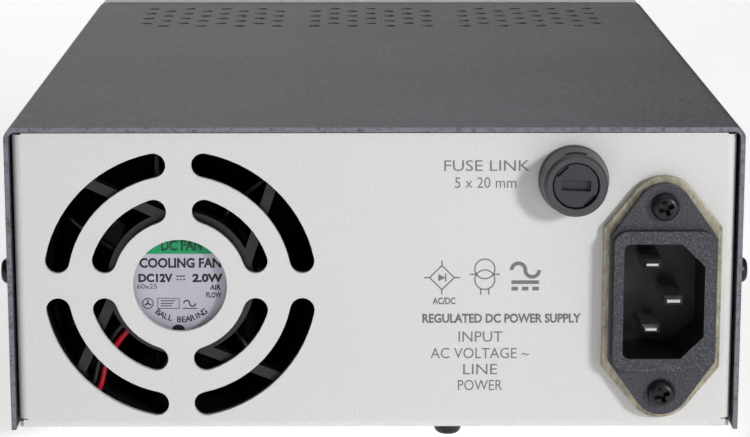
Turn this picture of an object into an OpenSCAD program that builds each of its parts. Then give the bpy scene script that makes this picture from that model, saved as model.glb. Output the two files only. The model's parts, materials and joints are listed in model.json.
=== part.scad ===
// Bench power supply: a folded steel tray and cover around a switch-mode supply, with a
// moulded front, three binding posts, a rear fan, a fuse holder and a filtered mains inlet.
// X is the width, the front faces -Y, and Z is up from the surface that the feet rest on.

/* [Case] */
// Outer width of the cover
case_w = 154; // [146:1:186]
// Height from the underside of the tray to the top of the cover
case_h = 65; // [65:1:80]
// Depth of the cover from its front edge to its rear edge
cover_d = 205; // [195:1:250]
// Thickness of the cover's sheet
cover_t = 1; // [0.8:0.1:1.4]
// Thickness of the tray's sheet
tray_t = 1.2; // [1:0.1:1.6]
// Gap between the cover's sides and the tray
cover_gap = 0.5; // [0.3:0.1:0.8]
// How far the cover reaches past the rear panel
cover_lip = 0.8; // [0:0.1:2]
// Outer radius of the cover's two bends
cover_bend = 2.4; // [2:0.1:4]
// Outer radius of the tray's bends
tray_bend = 2; // [1.8:0.1:3]
// Length of the flanges that the cover is screwed to
flange_d = 14; // [13:1:20]
// Height of the cover screws above the tray's underside
screw_z = 33; // [28:1:36]
// Distance of a cover screw from the end of the cover
screw_inset = 7.5; // [7:0.5:9]

/* [Top vents] */
// Diameter of a vent hole
vent_hole = 3; // [2:0.1:3.4]
// Distance between neighbouring columns of holes
vent_pitch = 5; // [4:0.5:5.5]
// Holes in each column
vent_rows = 4; // [2:1:6]
// Distance from the cover's front edge to the first row of holes
vent_inset = 14; // [10:1:30]

/* [Feet] */
// Diameter of a rubber foot
foot_d = 16; // [12:1:20]
// Height of a rubber foot
foot_h = 5; // [4:0.5:8]
// Distance of a foot's axis from the tray's side
foot_side = 26; // [24:1:28]
// Distance of a foot's axis from the rear panel and from the tray's front
foot_end = 47; // [46:1:50]

/* [Front] */
// Depth of the moulded bezel
bezel_d = 14; // [12:1:18]
// How far the bezel stands proud of the cover
bezel_proud = 0.6; // [0.2:0.1:1.5]
// Outer corner radius of the bezel
bezel_r = 5; // [3:0.5:8]
// Wall thickness of the bezel
bezel_t = 2.4; // [2:0.1:3]
// Thickness of the fascia sheet let into the bezel
fascia_t = 0.8; // [0.5:0.1:1.2]
// Width of the rim around the fascia
fascia_rim = 5; // [4:0.5:7]
// Width of the display window
window_w = 66; // [64:1:68]
// Height of the display window
window_h = 23; // [21:1:25]
// Distance of the display window's centre from the left side
window_x = 42; // [41:0.5:46]
// Height of the display and the knobs above the tray's underside
upper_z = 45.5; // [44:0.5:48]
// Height of the posts, the power switch and the output button
lower_z = 17; // [16:0.5:18]

/* [Knobs] */
// Diameter of a knob
knob_d = 21; // [16:0.5:22]
// Length of a knob
knob_h = 14; // [12:0.5:18]
// Distance of the voltage knob from the right side
volt_knob_x = 57; // [56:0.5:60]
// Distance of the current knob from the right side
amp_knob_x = 23; // [21:0.5:26]
// Diameter of an encoder shaft
shaft_d = 6; // [5:0.5:6]

/* [Binding posts] */
// Distance between neighbouring posts
post_pitch = 19; // [18:0.5:20]
// Distance of the red post from the right side
post_x = 22; // [18:0.5:26]
// Diameter of a post's cap
post_cap_d = 13.4; // [12:0.1:15]
// Length of a post's cap
post_cap_h = 17; // [15:0.5:20]
// Diameter of a post's insulating base
post_base_d = 15; // [14:0.5:16]
// Thickness of the base in front of the fascia
post_base_h = 4; // [3:0.5:6]
// Outer diameter of the threaded stud
stud_d = 6.6; // [6.2:0.1:7]
// Diameter of the plug socket in the stud
socket_d = 4; // [3.9:0.1:4.2]
// Depth of the plug socket
socket_depth = 18; // [16:1:22]

/* [Power switch and button] */
// Width of the power switch's flange
switch_w = 15; // [14:0.5:16]
// Height of the power switch's flange
switch_h = 21; // [20:0.5:22]
// Angle that the rocker turns through
rocker_throw = 20; // [14:1:22]
// Distance of the power switch from the left side
switch_x = 19; // [17:0.5:22]
// Distance of the output button from the left side
button_x = 47; // [45:0.5:50]
// Diameter of the output button
button_d = 9.6; // [8:0.2:11]
// Travel of the output button
button_travel = 1.5; // [1:0.1:2]

/* [Fan] */
// Side of the square fan frame
fan_size = 60; // [60]
// Depth of the fan
fan_d = 25; // [20:1:25]
// Distance of the fan's axis from the left side, seen from behind
fan_x = 36.1; // [35:0.1:40]
// Height of the fan's axis above the tray's floor
fan_z = 30; // [30:0.1:31]
// Gap between the rear panel and the fan
fan_gap = 1.4; // [1:0.1:4]
// Radius of the fan's duct
duct_r = 28.9; // [28:0.1:29]
// Radius of the fan's hub
hub_r = 15.5; // [14:0.1:16]
// Number of fan blades
blades = 7; // [5:1:9]

/* [Fan grille] */
// Radius of the round opening in the middle
grille_eye_r = 9.9; // [8:0.1:11]
// Width of each curved slot
slot_w = 5.2; // [4:0.1:5.4]
// Middle radius of the inner ring of slots
slot_inner_r = 16.7; // [15.9:0.1:17]
// Middle radius of the outer ring of slots
slot_outer_r = 26.2; // [25:0.1:26.5]
// Width of the spokes between slots
spoke_w = 5.3; // [4:0.1:6]

/* [Fuse holder] */
// Distance of the fuse holder from the right side, seen from behind
fuse_x = 35.6; // [35:0.1:40]
// Height of the fuse holder above the tray's underside
fuse_z = 53.9; // [53:0.1:54.5]
// Diameter of the fuse holder's base
fuse_base_d = 14.7; // [14:0.1:16]
// Diameter of the fuse holder's end face
fuse_face_d = 12.4; // [11.5:0.1:13]
// How far the fuse holder stands out of the rear panel
fuse_proud = 7.5; // [7:0.1:9]
// Diameter of the turning fuse cap
fuse_cap_d = 9.2; // [8.6:0.1:9.6]
// Length of the fuse link
fuse_len = 20; // [20]
// Diameter of the fuse link
fuse_d = 5; // [5:0.1:5.2]

/* [Mains inlet] */
// Distance of the inlet from the right side, seen from behind
inlet_x = 16.8; // [16.5:0.1:18]
// Height of the inlet above the tray's underside
inlet_z = 28.9; // [28:0.1:32]
// Distance between the inlet's two screws
inlet_pitch = 40; // [40]
// Thickness of the filter's metal flange
filter_t = 1.8; // [1.2:0.1:2.4]
// Depth of the filter's can behind the rear panel
filter_d = 30; // [26:1:34]
// Thickness of the inlet's plastic flange
inlet_t = 2.2; // [1.8:0.1:2.6]
// Height of the rim around the socket
inlet_rim = 1.6; // [1:0.1:2]
// Width of the socket
socket_w = 16.9; // [16.5:0.1:17]
// Height of the socket
socket_h = 24.6; // [24:0.1:25]
// Depth of the socket
inlet_depth = 16.5; // [16:0.1:17.5]
// Distance of the earth screw from the right side, seen from behind
earth_x = 61.4; // [58:0.1:64]
// Distance of the earth screw from the rear panel
earth_inset = 5; // [5:0.5:8]

/* [Circuit board] */
// Width of the main board
board_w = 134; // [130:1:136]
// Depth of the main board
board_d = 130; // [128:1:134]
// Thickness of the boards
board_t = 1.6; // [1.2:0.1:2]
// Height of the standoffs under the main board
standoff_h = 6; // [5:0.5:8]
// Room behind the main board for the fan and the inlet
rear_room = 48; // [46:1:50]

/* [Hidden] */
$fn = 64;

// Colours
panel_grey = [0.83, 0.83, 0.82];
cover_grey = [0.38, 0.38, 0.4];
trim_grey = [0.8, 0.8, 0.8];
black_plastic = [0.13, 0.13, 0.14];
steel = [0.75, 0.75, 0.76];
khaki_steel = [0.6, 0.58, 0.52];
brass = [0.8, 0.66, 0.35];
board_green = [0.1, 0.36, 0.2];
red_plastic = [0.75, 0.1, 0.1];
green_plastic = [0.12, 0.5, 0.2];
silver = [0.78, 0.78, 0.8];

// Clearances and small standard sizes
run = 0.05;          // radial clearance of a shaft that turns in a bore
fit = 0.15;          // clearance of a piece let into an opening
gap = 0.3;           // clearance between pieces that move past each other
eps = 0.01;          // overlap of a cutter past a face
m3_d = 2.9;          // shank of an M3 screw
m3_hole = 3.3;       // clearance hole for an M3 screw
m3_tap = 2.94;       // tapped hole for an M3 screw
m3_head_d = 5.6;     // pan head of an M3 screw
m3_head_h = 2.1;     // height of the pan head
cross_w = 0.8;       // width of a cross recess
cross_l = 3.2;       // length of a cross recess
m3_nut = 5.5;        // M3 nut across flats
m3_nut_h = 2.4;      // height of an M3 nut

// Places along Y, from the front of the post caps to the rear of the fuse holder
post_proud = post_base_h + gap + post_cap_h;
inlet_proud = filter_t + inlet_t + inlet_rim;
rear_proud = max(fuse_proud, inlet_proud);
overall_d = post_proud + bezel_d + cover_d - cover_lip + rear_proud;
front_y = post_proud - overall_d / 2;
cover_y0 = front_y + bezel_d;
cover_y1 = cover_y0 + cover_d;
panel_y = cover_y1 - cover_lip;
wall_y = front_y + fascia_t + bezel_t;
inner_y = panel_y - tray_t;

// Places along X and Z
base_z = foot_h;
floor_z = base_z + tray_t;
top_z = base_z + case_h;
tray_w = case_w - 2 * (cover_t + cover_gap);
tray_y0 = cover_y0 + 0.2;
panel_top = top_z - cover_t - gap;
fan_cx = case_w / 2 - fan_x;
fan_cz = floor_z + fan_z;
fan_rear = inner_y - fan_gap;
fan_front = fan_rear - fan_d;
fuse_cx = fuse_x - case_w / 2;
fuse_cz = base_z + fuse_z;
inlet_cx = inlet_x - case_w / 2;
inlet_cz = base_z + inlet_z;
earth_cx = earth_x - case_w / 2;
earth_y = panel_y - earth_inset;
upper_cz = base_z + upper_z;
lower_cz = base_z + lower_z;
window_cx = window_x - case_w / 2;
volt_cx = case_w / 2 - volt_knob_x;
amp_cx = case_w / 2 - amp_knob_x;
switch_cx = switch_x - case_w / 2;
button_cx = button_x - case_w / 2;
red_cx = case_w / 2 - post_x;
green_cx = red_cx - post_pitch;
black_cx = green_cx - post_pitch;
post_xs = [red_cx, green_cx, black_cx];

// Front board, held on bosses behind the front wall
front_board_y = wall_y + 8.5;
front_board_z0 = base_z + 31;
front_board_z1 = base_z + 60;
front_board_side = 7;       // distance of the board's ends from the case's sides
tongue_x0 = button_cx - 9;  // part of the board that reaches down behind the button
tongue_x1 = button_cx + 19;
tongue_z0 = base_z + 9;
boss_d = 6;
stake_d = 2.1;              // pin on a boss, melted over behind the board
boss_edge = 3.5;            // distance of a boss's axis from the board's edge
boss_right = case_w / 2 - front_board_side - boss_edge;
boss_spots = [[button_cx, front_board_z0 - boss_edge], [boss_right, front_board_z0 + boss_edge],
    [boss_right, front_board_z1 - boss_edge],
    [window_cx + window_w / 2 + 7, front_board_z1 - boss_edge]];

// Lamps on the front: two between the knobs and one beside the output button
led_d = 3;
led_proud = 0.8;
led_spots = [[(volt_cx + amp_cx) / 2, upper_cz + 5], [(volt_cx + amp_cx) / 2, upper_cz - 5],
    [button_cx + 14, lower_cz]];

// Encoders
encoder_w = 12;
encoder_h = 6.5;
bushing_d = 8.4;
bushing_out = 3;            // length of the bushing in front of the fascia
shaft_out = 12;             // length of the shaft in front of the fascia
shaft_flat = 1.4;           // depth of the flat on the shaft
knob_gap = 0.8;

// Binding posts
post_neck_d = 9.8;
stud_rear = 22;             // length of the stud behind the fascia's face
insert_d = 9.4;
insert_h = 9;
cap_y1 = front_y - post_base_h - gap;
cap_y0 = cap_y1 - post_cap_h;
cap_face_t = 2;             // thickness of the cap's end in front of the insert
stud_y0 = cap_y0 + cap_face_t + insert_h - 7;
post_nut_af = 10;
post_nut_h = 4;
rib_count = 18;

// Power switch
switch_flange_t = 2;
switch_body_w = switch_w - 2;
switch_body_h = switch_h - 2;
switch_body_d = 15;
rocker_r = 8.4;
rocker_w = 10.8;
rocker_face = 4;            // distance of the rocker's face from its pivot
rocker_y = front_y + 1.5;   // place of the rocker's pivot
pivot_d = 2.4;
switch_tabs = [for (x = [-3.5, 3.5], z = [-5, 5]) [x, z]];
switch_back = front_y + switch_body_d + 7;

// Fan
fan_flange_t = 3.6;
fan_hole_pitch = 50;
fan_hole_d = 4.3;
stator_t = 5;
strut_w = 2.2;
strut_turns = [0, 84.3, 174.2, 267.2];  // where the four struts stand round the axis
blade_tilt = 48;            // angle between a blade and the fan's axis
strut_in = [14.0, 4.8];     // inner end of one strut, from the fan's axis
strut_out = [19.6, 21.6];   // outer end of the same strut
label_r = 12.4;
label_t = 0.25;
lead_d = 1.3;
lead_channel = 3.2;
bracket_foot = 12;
bracket_hole_y = fan_front - tray_t - bracket_foot / 2;
bracket_side = 24;          // distance of the foot's screws from the fan's axis

// Fuse holder
fuse_body_d = 12;
fuse_body_l = 32;
fuse_nut_af = 16;
fuse_nut_h = 4;
carrier_d = 7.6;
fuse_y1 = panel_y + fuse_proud;
fuse_tab_l = 6;
fuse_tab_y = panel_y - fuse_body_l + 6;
fuse_back = panel_y - fuse_body_l - 8;
cap_inset = 0.5;            // how far the cap's face sits inside the holder's
fuse_slot = [6, 2.1, 1.4];  // length, width and depth of the screwdriver slot

// Mains inlet
filter_w = 24.8;
filter_h = 52;
flange_w = 22.4;            // plastic flange
flange_h = 49.4;
can_w = 23;
can_h = 31;
body_w = 21;
body_h = 30;
socket_bevel = 4.8;
pin = [4, 2];
pin_z = 7;                  // distance of the outer pins from the middle one
pin_x = 2.1;
tab = [0.8, 6.3, 7];

// Main board
board_y1 = panel_y - rear_room;
board_y0 = board_y1 - board_d;
board_z = floor_z + standoff_h;
board_top = board_z + board_t;
standoff_xs = [-board_w / 2 + 6, board_w / 2 - 6];
standoff_ys = [board_y0 + 6, board_y0 + board_d / 2, board_y1 - 6];

// Feet, bezel bosses and vents
foot_xs = [foot_side - tray_w / 2, tray_w / 2 - foot_side];
foot_ys = [tray_y0 + foot_end, panel_y - foot_end];
bezel_boss = [10, 12, 9];
bezel_boss_xs = [31.5 - case_w / 2, case_w / 2 - 31.5];
bezel_boss_y = cover_y0 + bezel_boss[1] / 2;
vent_columns = [for (i = [-12:12]) if (abs(i) != 4) i];
vent_row_pitch = 2 * vent_pitch;
ear_h = 46;

// A box between two opposite corners
module block(a, b) translate(a) cube(b - a);

// A round bar along Y at (x, z)
module bar_y(x, z, y0, y1, d) translate([x, y0, z]) rotate([-90, 0, 0]) cylinder(h = y1 - y0, d = d);

// A round bar along X at (y, z)
module bar_x(x0, x1, y, z, d) translate([x0, y, z]) rotate([0, 90, 0]) cylinder(h = x1 - x0, d = d);

// An outline drawn in X and Z, made solid from y0 to y1
module slab_y(y0, y1) translate([0, y1, 0]) rotate([90, 0, 0]) linear_extrude(y1 - y0) children();

// An outline drawn in Y and Z, made solid from x0 to x1
module slab_x(x0, x1) translate([x0, 0, 0]) rotate([90, 0, 90]) linear_extrude(x1 - x0) children();

module round_rect(w, h, r) {
    square([w - 2 * r, h], center = true);
    square([w, h - 2 * r], center = true);
    for (sx = [-1, 1], sz = [-1, 1]) translate([sx * (w / 2 - r), sz * (h / 2 - r)]) circle(r);
}

// A plate with straight sides that narrows to a round tip above and below
module tipped_plate(w, h, side_h, tip_r) {
    tip_z = h / 2 - tip_r;
    reach = norm([w / 2, side_h / 2 - tip_z]);
    a = atan2(side_h / 2 - tip_z, w / 2) + acos(tip_r / reach);
    t = [tip_r * cos(a), tip_z + tip_r * sin(a)];
    polygon([[w / 2, side_h / 2], t, [-t[0], t[1]], [-w / 2, side_h / 2],
        [-w / 2, -side_h / 2], [-t[0], -t[1]], [t[0], -t[1]], [w / 2, -side_h / 2]]);
    for (s = [-1, 1]) translate([0, s * tip_z]) circle(tip_r);
}

// A quarter of a bent sheet's corner, along Z, with its outside towards +X and +Y
module bend_z(r, t, h) intersection() {
    difference() {
        cylinder(h = h, r = r);
        translate([0, 0, -1]) cylinder(h = h + 2, r = r - t);
    }
    translate([0, 0, -1]) cube([r + 1, r + 1, h + 2]);
}

// A curved slot with round ends, in a plane, between two angles
module curved_slot(r, w, a0, a1, h) {
    rotate_extrude(angle = a1 - a0, start = a0) translate([r - w / 2, 0]) square([w, h]);
    for (a = [a0, a1]) rotate(a) translate([r, 0, 0]) cylinder(h = h, d = w - 0.04);
}

// A pan-head screw with its head's underside at the origin and its shank along -Z
module pan_screw(l, d = m3_d, head_d = m3_head_d, head_h = m3_head_h) {
    difference() {
        union() {
            cylinder(h = head_h * 0.55, d = head_d);
            translate([0, 0, head_h * 0.55]) cylinder(h = head_h * 0.45, d1 = head_d, d2 = head_d * 0.62);
        }
        for (a = [0, 90]) rotate(a + 20) translate([-cross_l / 2, -cross_w / 2, head_h * 0.35])
            cube([cross_l, cross_w, head_h]);
    }
    translate([0, 0, -l]) cylinder(h = l + eps, d = d);
}

module hex_nut(af, h, bore) difference() {
    cylinder(h = h, d = af / cos(30), $fn = 6);
    translate([0, 0, -1]) cylinder(h = h + 2, d = bore);
}

function unit(v) = v / norm(v);
function spline_point(a, b, c, d, t) = 0.5 * (2 * b + (c - a) * t
    + (2 * a - 5 * b + 4 * c - d) * t * t + (3 * b - a - 3 * c + d) * t * t * t);

// A smooth curve through a route, with a few steps in each span
function smooth(route, steps) = let (last = len(route) - 1) concat(
    [for (i = [0:last - 1], k = [0:steps - 1])
        spline_point(route[max(i - 1, 0)], route[i], route[i + 1], route[min(i + 2, last)], k / steps)],
    [route[last]]);
function square_to(v, axis) = unit(v - (v * axis) * axis);

// A round wire swept along a route, as eight flat sides
module wire(route, d, steps = 4) {
    sides = 8;
    p = smooth(route, steps);
    n = len(p);
    along = [for (i = [0:n - 1]) unit(p[min(i + 1, n - 1)] - p[max(i - 1, 0)])];
    across = [for (i = 0, u = square_to([0.37, 0.61, 0.7], along[0]); i < n;
        i = i + 1, u = square_to(u, along[min(i, n - 1)])) u];
    rings = [for (i = [0:n - 1], k = [0:sides - 1]) let (a = k * 360 / sides)
        p[i] + d / 2 * (cos(a) * across[i] + sin(a) * cross(along[i], across[i]))];
    walls = [for (i = [0:n - 2], k = [0:sides - 1]) let (j = (k + 1) % sides)
        [i * sides + k, (i + 1) * sides + k, (i + 1) * sides + j, i * sides + j]];
    polyhedron(rings, concat([[for (k = [0:sides - 1]) k]], walls,
        [[for (k = [sides - 1:-1:0]) (n - 1) * sides + k]]));
}

// ---- Tray and cover ----

// Openings in the rear panel for the fan, all cut along Y
module grille_cut() translate([fan_cx, panel_y + 1, fan_cz]) rotate([90, 0, 0]) {
    cylinder(h = tray_t + 2, r = grille_eye_r);
    for (r = [slot_inner_r, slot_outer_r], q = [0:3]) {
        a = asin((spoke_w + slot_w) / 2 / r);
        curved_slot(r, slot_w, q * 90 + a, q * 90 + 90 - a, tray_t + 2);
    }
}

// The rear panel's side flange, and the front ear, on the +X side
module tray_flange() {
    x1 = tray_w / 2;
    lift = tray_bend + 0.25;
    block([x1 - tray_t, panel_y - flange_d, base_z + lift], [x1, panel_y - tray_bend, panel_top - gap]);
    translate([x1 - tray_bend, panel_y - tray_bend, base_z + lift])
        bend_z(tray_bend, tray_t, panel_top - gap - base_z - lift);
    block([x1 - tray_t, tray_y0 + 2, base_z], [x1, tray_y0 + 2 + flange_d, base_z + ear_h]);
}

module chassis_tray() color(panel_grey) difference() {
    union() {
        block([-tray_w / 2, tray_y0, base_z], [tray_w / 2, panel_y - tray_bend, floor_z]);
        block([tray_bend - tray_w / 2, inner_y, base_z + tray_bend],
            [tray_w / 2 - tray_bend, panel_y, panel_top]);
        translate([-tray_w / 2 + 1, panel_y - tray_bend, base_z + tray_bend]) rotate([90, 90, 90])
            bend_z(tray_bend, tray_t, tray_w - 2);
        tray_flange();
        mirror([1, 0, 0]) tray_flange();
    }
    grille_cut();
    bar_y(fuse_cx, fuse_cz, inner_y - 1, panel_y + 1, fuse_body_d + 2 * fit);
    translate([inlet_cx, 0, inlet_cz]) {
        slab_y(inner_y - 1, panel_y + 1) round_rect(can_w + 2 * fit, can_h + 2 * fit, 1.5);
        for (s = [-1, 1]) bar_y(0, s * inlet_pitch / 2, inner_y - 1, panel_y + 1, m3_hole);
    }
    for (y = [cover_y0 + screw_inset, cover_y1 - screw_inset])
        bar_x(-tray_w, tray_w, y, base_z + screw_z, m3_tap);
    for (x = foot_xs, y = foot_ys) translate([x, y, base_z - 1]) cylinder(h = tray_t + 2, d = m3_tap);
    for (x = bezel_boss_xs) translate([x, bezel_boss_y, base_z - 1]) cylinder(h = tray_t + 2, d = m3_hole);
    for (x = standoff_xs, y = standoff_ys) translate([x, y, base_z - 1])
        cylinder(h = tray_t + 2, d = m3_hole);
    for (s = [-1, 1]) translate([fan_cx + s * bracket_side, bracket_hole_y, base_z - 1])
        cylinder(h = tray_t + 2, d = m3_hole);
    translate([earth_cx, earth_y, base_z - 1]) cylinder(h = tray_t + 2, d = m3_hole);
}

module cover_outline(inset) {
    r = cover_bend - inset;
    w = case_w - 2 * inset;
    top = top_z - inset;
    translate([-w / 2, base_z - inset]) square([w, top - r - base_z + inset]);
    translate([r - w / 2, base_z - inset]) square([w - 2 * r, top - base_z + inset]);
    for (s = [-1, 1]) translate([s * (w / 2 - r), top - r]) circle(r);
}

module top_cover() color(cover_grey) difference() {
    slab_y(cover_y0, cover_y1) difference() {
        cover_outline(0);
        cover_outline(cover_t);
    }
    for (i = vent_columns, j = [0:vent_rows - 1])
        translate([i * vent_pitch, cover_y0 + vent_inset + j * vent_row_pitch
            + (i % 2 == 0 ? 0 : vent_pitch), top_z - cover_t - 1])
            cylinder(h = cover_t + 2, d = vent_hole);
    for (y = [cover_y0 + screw_inset, cover_y1 - screw_inset])
        bar_x(-case_w, case_w, y, base_z + screw_z, m3_hole);
}

module cover_screws() color(black_plastic)
    for (s = [-1, 1], y = [cover_y0 + screw_inset, cover_y1 - screw_inset])
        translate([s * case_w / 2, y, base_z + screw_z]) rotate([0, s * 90, 0]) pan_screw(5);

module feet() color(black_plastic) for (x = foot_xs, y = foot_ys) translate([x, y, 0]) difference() {
    cylinder(h = foot_h, d1 = foot_d - 2, d2 = foot_d);
    translate([0, 0, -1]) cylinder(h = 1 + foot_h - 1.6, d = m3_head_d + 1);
    cylinder(h = foot_h + 1, d = m3_hole);
}

module foot_screws() color(steel) for (x = foot_xs, y = foot_ys)
    translate([x, y, foot_h - 1.6]) mirror([0, 0, 1]) pan_screw(6);

// ---- Front ----

// Openings through the front wall and the fascia for the controls
module front_cuts(extra) {
    y0 = front_y - 1;
    y1 = wall_y + 1;
    for (x = [volt_cx, amp_cx]) bar_y(x, upper_cz, y0, y1, bushing_d + 2 * fit + extra);
    for (x = post_xs) bar_y(x, lower_cz, y0, y1, post_neck_d + 2 * fit + extra);
    for (p = led_spots) bar_y(p[0], p[1], y0, y1, led_d + 2 * fit + extra);
    bar_y(button_cx, lower_cz, y0, y1, button_d + 2 * gap + extra);
    block([switch_cx - switch_body_w / 2 - fit, y0, lower_cz - switch_body_h / 2 - fit],
        [switch_cx + switch_body_w / 2 + fit, y1, lower_cz + switch_body_h / 2 + fit]);
    translate([window_cx, 0, upper_cz]) slab_y(y0, y1) round_rect(window_w + extra, window_h + extra, 2);
}

module front_bezel() color(trim_grey) difference() {
    union() {
        translate([0, 0, base_z + case_h / 2]) difference() {
            slab_y(front_y, cover_y0)
                round_rect(case_w + 2 * bezel_proud, case_h + 2 * bezel_proud, bezel_r);
            slab_y(wall_y, cover_y0 + 1) round_rect(case_w + 2 * (bezel_proud - bezel_t),
                case_h + 2 * (bezel_proud - bezel_t), bezel_r - bezel_t);
            slab_y(front_y - 1, front_y + fascia_t)
                round_rect(case_w - 2 * fascia_rim, case_h - 2 * fascia_rim + 4, 3);
        }
        for (x = bezel_boss_xs) block([x - bezel_boss[0] / 2, wall_y - eps, floor_z + 1.3],
            [x + bezel_boss[0] / 2, cover_y0, floor_z + bezel_boss[2]]);
        for (x = bezel_boss_xs) block([x - bezel_boss[0] / 2, cover_y0 - 1, floor_z],
            [x + bezel_boss[0] / 2, cover_y0 + bezel_boss[1], floor_z + bezel_boss[2]]);
        for (p = boss_spots) {
            bar_y(p[0], p[1], wall_y - eps, front_board_y, boss_d);
            bar_y(p[0], p[1], wall_y, front_board_y + board_t + 0.8, stake_d);
        }
    }
    front_cuts(0);
    for (x = bezel_boss_xs) translate([x, bezel_boss_y, floor_z - 1]) cylinder(h = 8, d = m3_tap);
    // Groove all round, just in front of the cover
    translate([0, 0, base_z + case_h / 2]) slab_y(cover_y0 - 2.6, cover_y0 - 2) difference() {
        square([2 * case_w, 2 * case_h], center = true);
        round_rect(case_w + 2 * bezel_proud - 1, case_h + 2 * bezel_proud - 1, bezel_r - 0.5);
    }
}

module bezel_screws() color(steel) for (x = bezel_boss_xs)
    translate([x, bezel_boss_y, base_z]) mirror([0, 0, 1]) pan_screw(7);

module fascia() color(cover_grey) difference() {
    translate([0, 0, base_z + case_h / 2]) slab_y(front_y, front_y + fascia_t)
        round_rect(case_w - 2 * fascia_rim - 2 * fit, case_h - 2 * fascia_rim + 4 - 2 * fit, 3 - fit);
    front_cuts(0);
}

module display_window() color([0.08, 0.03, 0.03]) translate([window_cx, 0, upper_cz]) {
    slab_y(front_y + 0.1, wall_y + 0.02) round_rect(window_w - 2 * fit, window_h - 2 * fit, 2 - fit);
    slab_y(wall_y, wall_y + 0.8) round_rect(window_w + 3, window_h + 3, 2);
}

module led_displays() color([0.2, 0.2, 0.22]) for (s = [-1, 1])
    translate([window_cx + s * 16.2, 0, upper_cz])
        slab_y(wall_y + 0.9, front_board_y) square([30.6, 16], center = true);

module front_board() color(board_green) difference() {
    union() {
        block([front_board_side - case_w / 2, front_board_y, front_board_z0],
            [case_w / 2 - front_board_side, front_board_y + board_t, front_board_z1]);
        block([tongue_x0, front_board_y, tongue_z0],
            [tongue_x1, front_board_y + board_t, front_board_z0 + 1]);
    }
    for (p = boss_spots)
        bar_y(p[0], p[1], front_board_y - 1, front_board_y + board_t + 1, stake_d + 2 * run);
}

module indicator_leds() color([0.3, 0.8, 0.3]) for (p = led_spots) {
    bar_y(p[0], p[1], front_y - led_proud + led_d / 2, front_board_y, led_d);
    translate([p[0], front_y - led_proud + led_d / 2, p[1]]) sphere(d = led_d);
    bar_y(p[0], p[1], front_board_y - 1, front_board_y, led_d + 0.8);
}

module encoders() color(steel) for (x = [volt_cx, amp_cx]) difference() {
    union() {
        translate([x, 0, upper_cz]) slab_y(front_board_y - encoder_h, front_board_y)
            square([encoder_w, encoder_w], center = true);
        bar_y(x, upper_cz, front_y - bushing_out, front_board_y - 1, bushing_d);
    }
    bar_y(x, upper_cz, front_y - bushing_out - 1, front_board_y - 2 + gap, shaft_d + 2 * run);
}

module encoder_shaft(x) color(silver) translate([x, 0, upper_cz]) difference() {
    bar_y(0, 0, front_y - shaft_out, front_board_y - 2, shaft_d);
    block([-shaft_d, front_y - shaft_out - 1, shaft_d / 2 - shaft_flat],
        [shaft_d, front_y - bushing_out - 2, shaft_d]);
}
module voltage_shaft() encoder_shaft(volt_cx);
module current_shaft() encoder_shaft(amp_cx);

// A fluted knob with a D-shaped bore and a pointer line
module knob(x) color(black_plastic) translate([x, front_y - knob_gap, upper_cz]) rotate([90, 0, 0])
    difference() {
        union() {
            cylinder(h = 3, d1 = knob_d, d2 = knob_d - 0.6);
            translate([0, 0, 3]) cylinder(h = knob_h - 4, d1 = knob_d - 2, d2 = knob_d - 3);
            translate([0, 0, knob_h - 1]) cylinder(h = 1, d1 = knob_d - 3, d2 = knob_d - 4.6);
        }
        for (i = [0:17]) rotate(i * 20 + 10) translate([knob_d / 2 - 0.7, 0, 3.6])
            cylinder(h = knob_h, d = 1.5, $fn = 16);
        translate([0, 0, -1]) cylinder(h = bushing_out - knob_gap + 1.6, d = bushing_d + 2 * gap);
        difference() {
            cylinder(h = shaft_out - knob_gap + gap, d = shaft_d);
            translate([-shaft_d, shaft_d / 2 - shaft_flat, bushing_out + 2 - knob_gap])
                cube([2 * shaft_d, shaft_d, knob_h]);
        }
        translate([-0.5, knob_d / 2 - 7, knob_h - 0.5]) cube([1, 5, 1]);
    }
module voltage_knob() knob(volt_cx);
module current_knob() knob(amp_cx);

// Button with a collar behind the wall and a stem that goes into its switch
button_stem_d = 3;
switch_body = [8, 5, 8];
module output_button() color(silver) translate([button_cx, 0, lower_cz]) {
    bar_y(0, 0, front_y - 2.4, wall_y + 0.6, button_d);
    bar_y(0, 0, wall_y + gap, wall_y + 1.2, button_d + 2.4);
    bar_y(0, 0, wall_y + 1, front_board_y - switch_body[1] + 1.5, button_stem_d);
}
module output_switch() color(black_plastic) translate([button_cx, 0, lower_cz]) difference() {
    block([-switch_body[0] / 2, front_board_y - switch_body[1], -switch_body[2] / 2],
        [switch_body[0] / 2, front_board_y, switch_body[2] / 2]);
    bar_y(0, 0, front_board_y - switch_body[1] - 1, front_board_y - 1, button_stem_d + 2 * fit);
}

module power_switch() color(black_plastic) translate([switch_cx, 0, lower_cz]) {
    difference() {
        union() {
            slab_y(front_y - switch_flange_t, front_y) round_rect(switch_w, switch_h, 1.2);
            block([-switch_body_w / 2, front_y - eps, -switch_body_h / 2],
                [switch_body_w / 2, front_y + switch_body_d, switch_body_h / 2]);
        }
        bar_x(-rocker_w / 2 - gap, rocker_w / 2 + gap, rocker_y, 0, 2 * (rocker_r + gap));
        block([-rocker_w / 2 - gap, front_y - 9, -rocker_r - gap],
            [rocker_w / 2 + gap, rocker_y, rocker_r + gap]);
        bar_x(-rocker_w / 2 - 0.8, rocker_w / 2 + 0.8, rocker_y, 0, pivot_d + 2 * run);
    }
    for (t = switch_tabs) block([t[0] - 0.4, front_y + switch_body_d - eps, t[1] - 2.4],
        [t[0] + 0.4, switch_back, t[1] + 2.4]);
}

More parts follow.
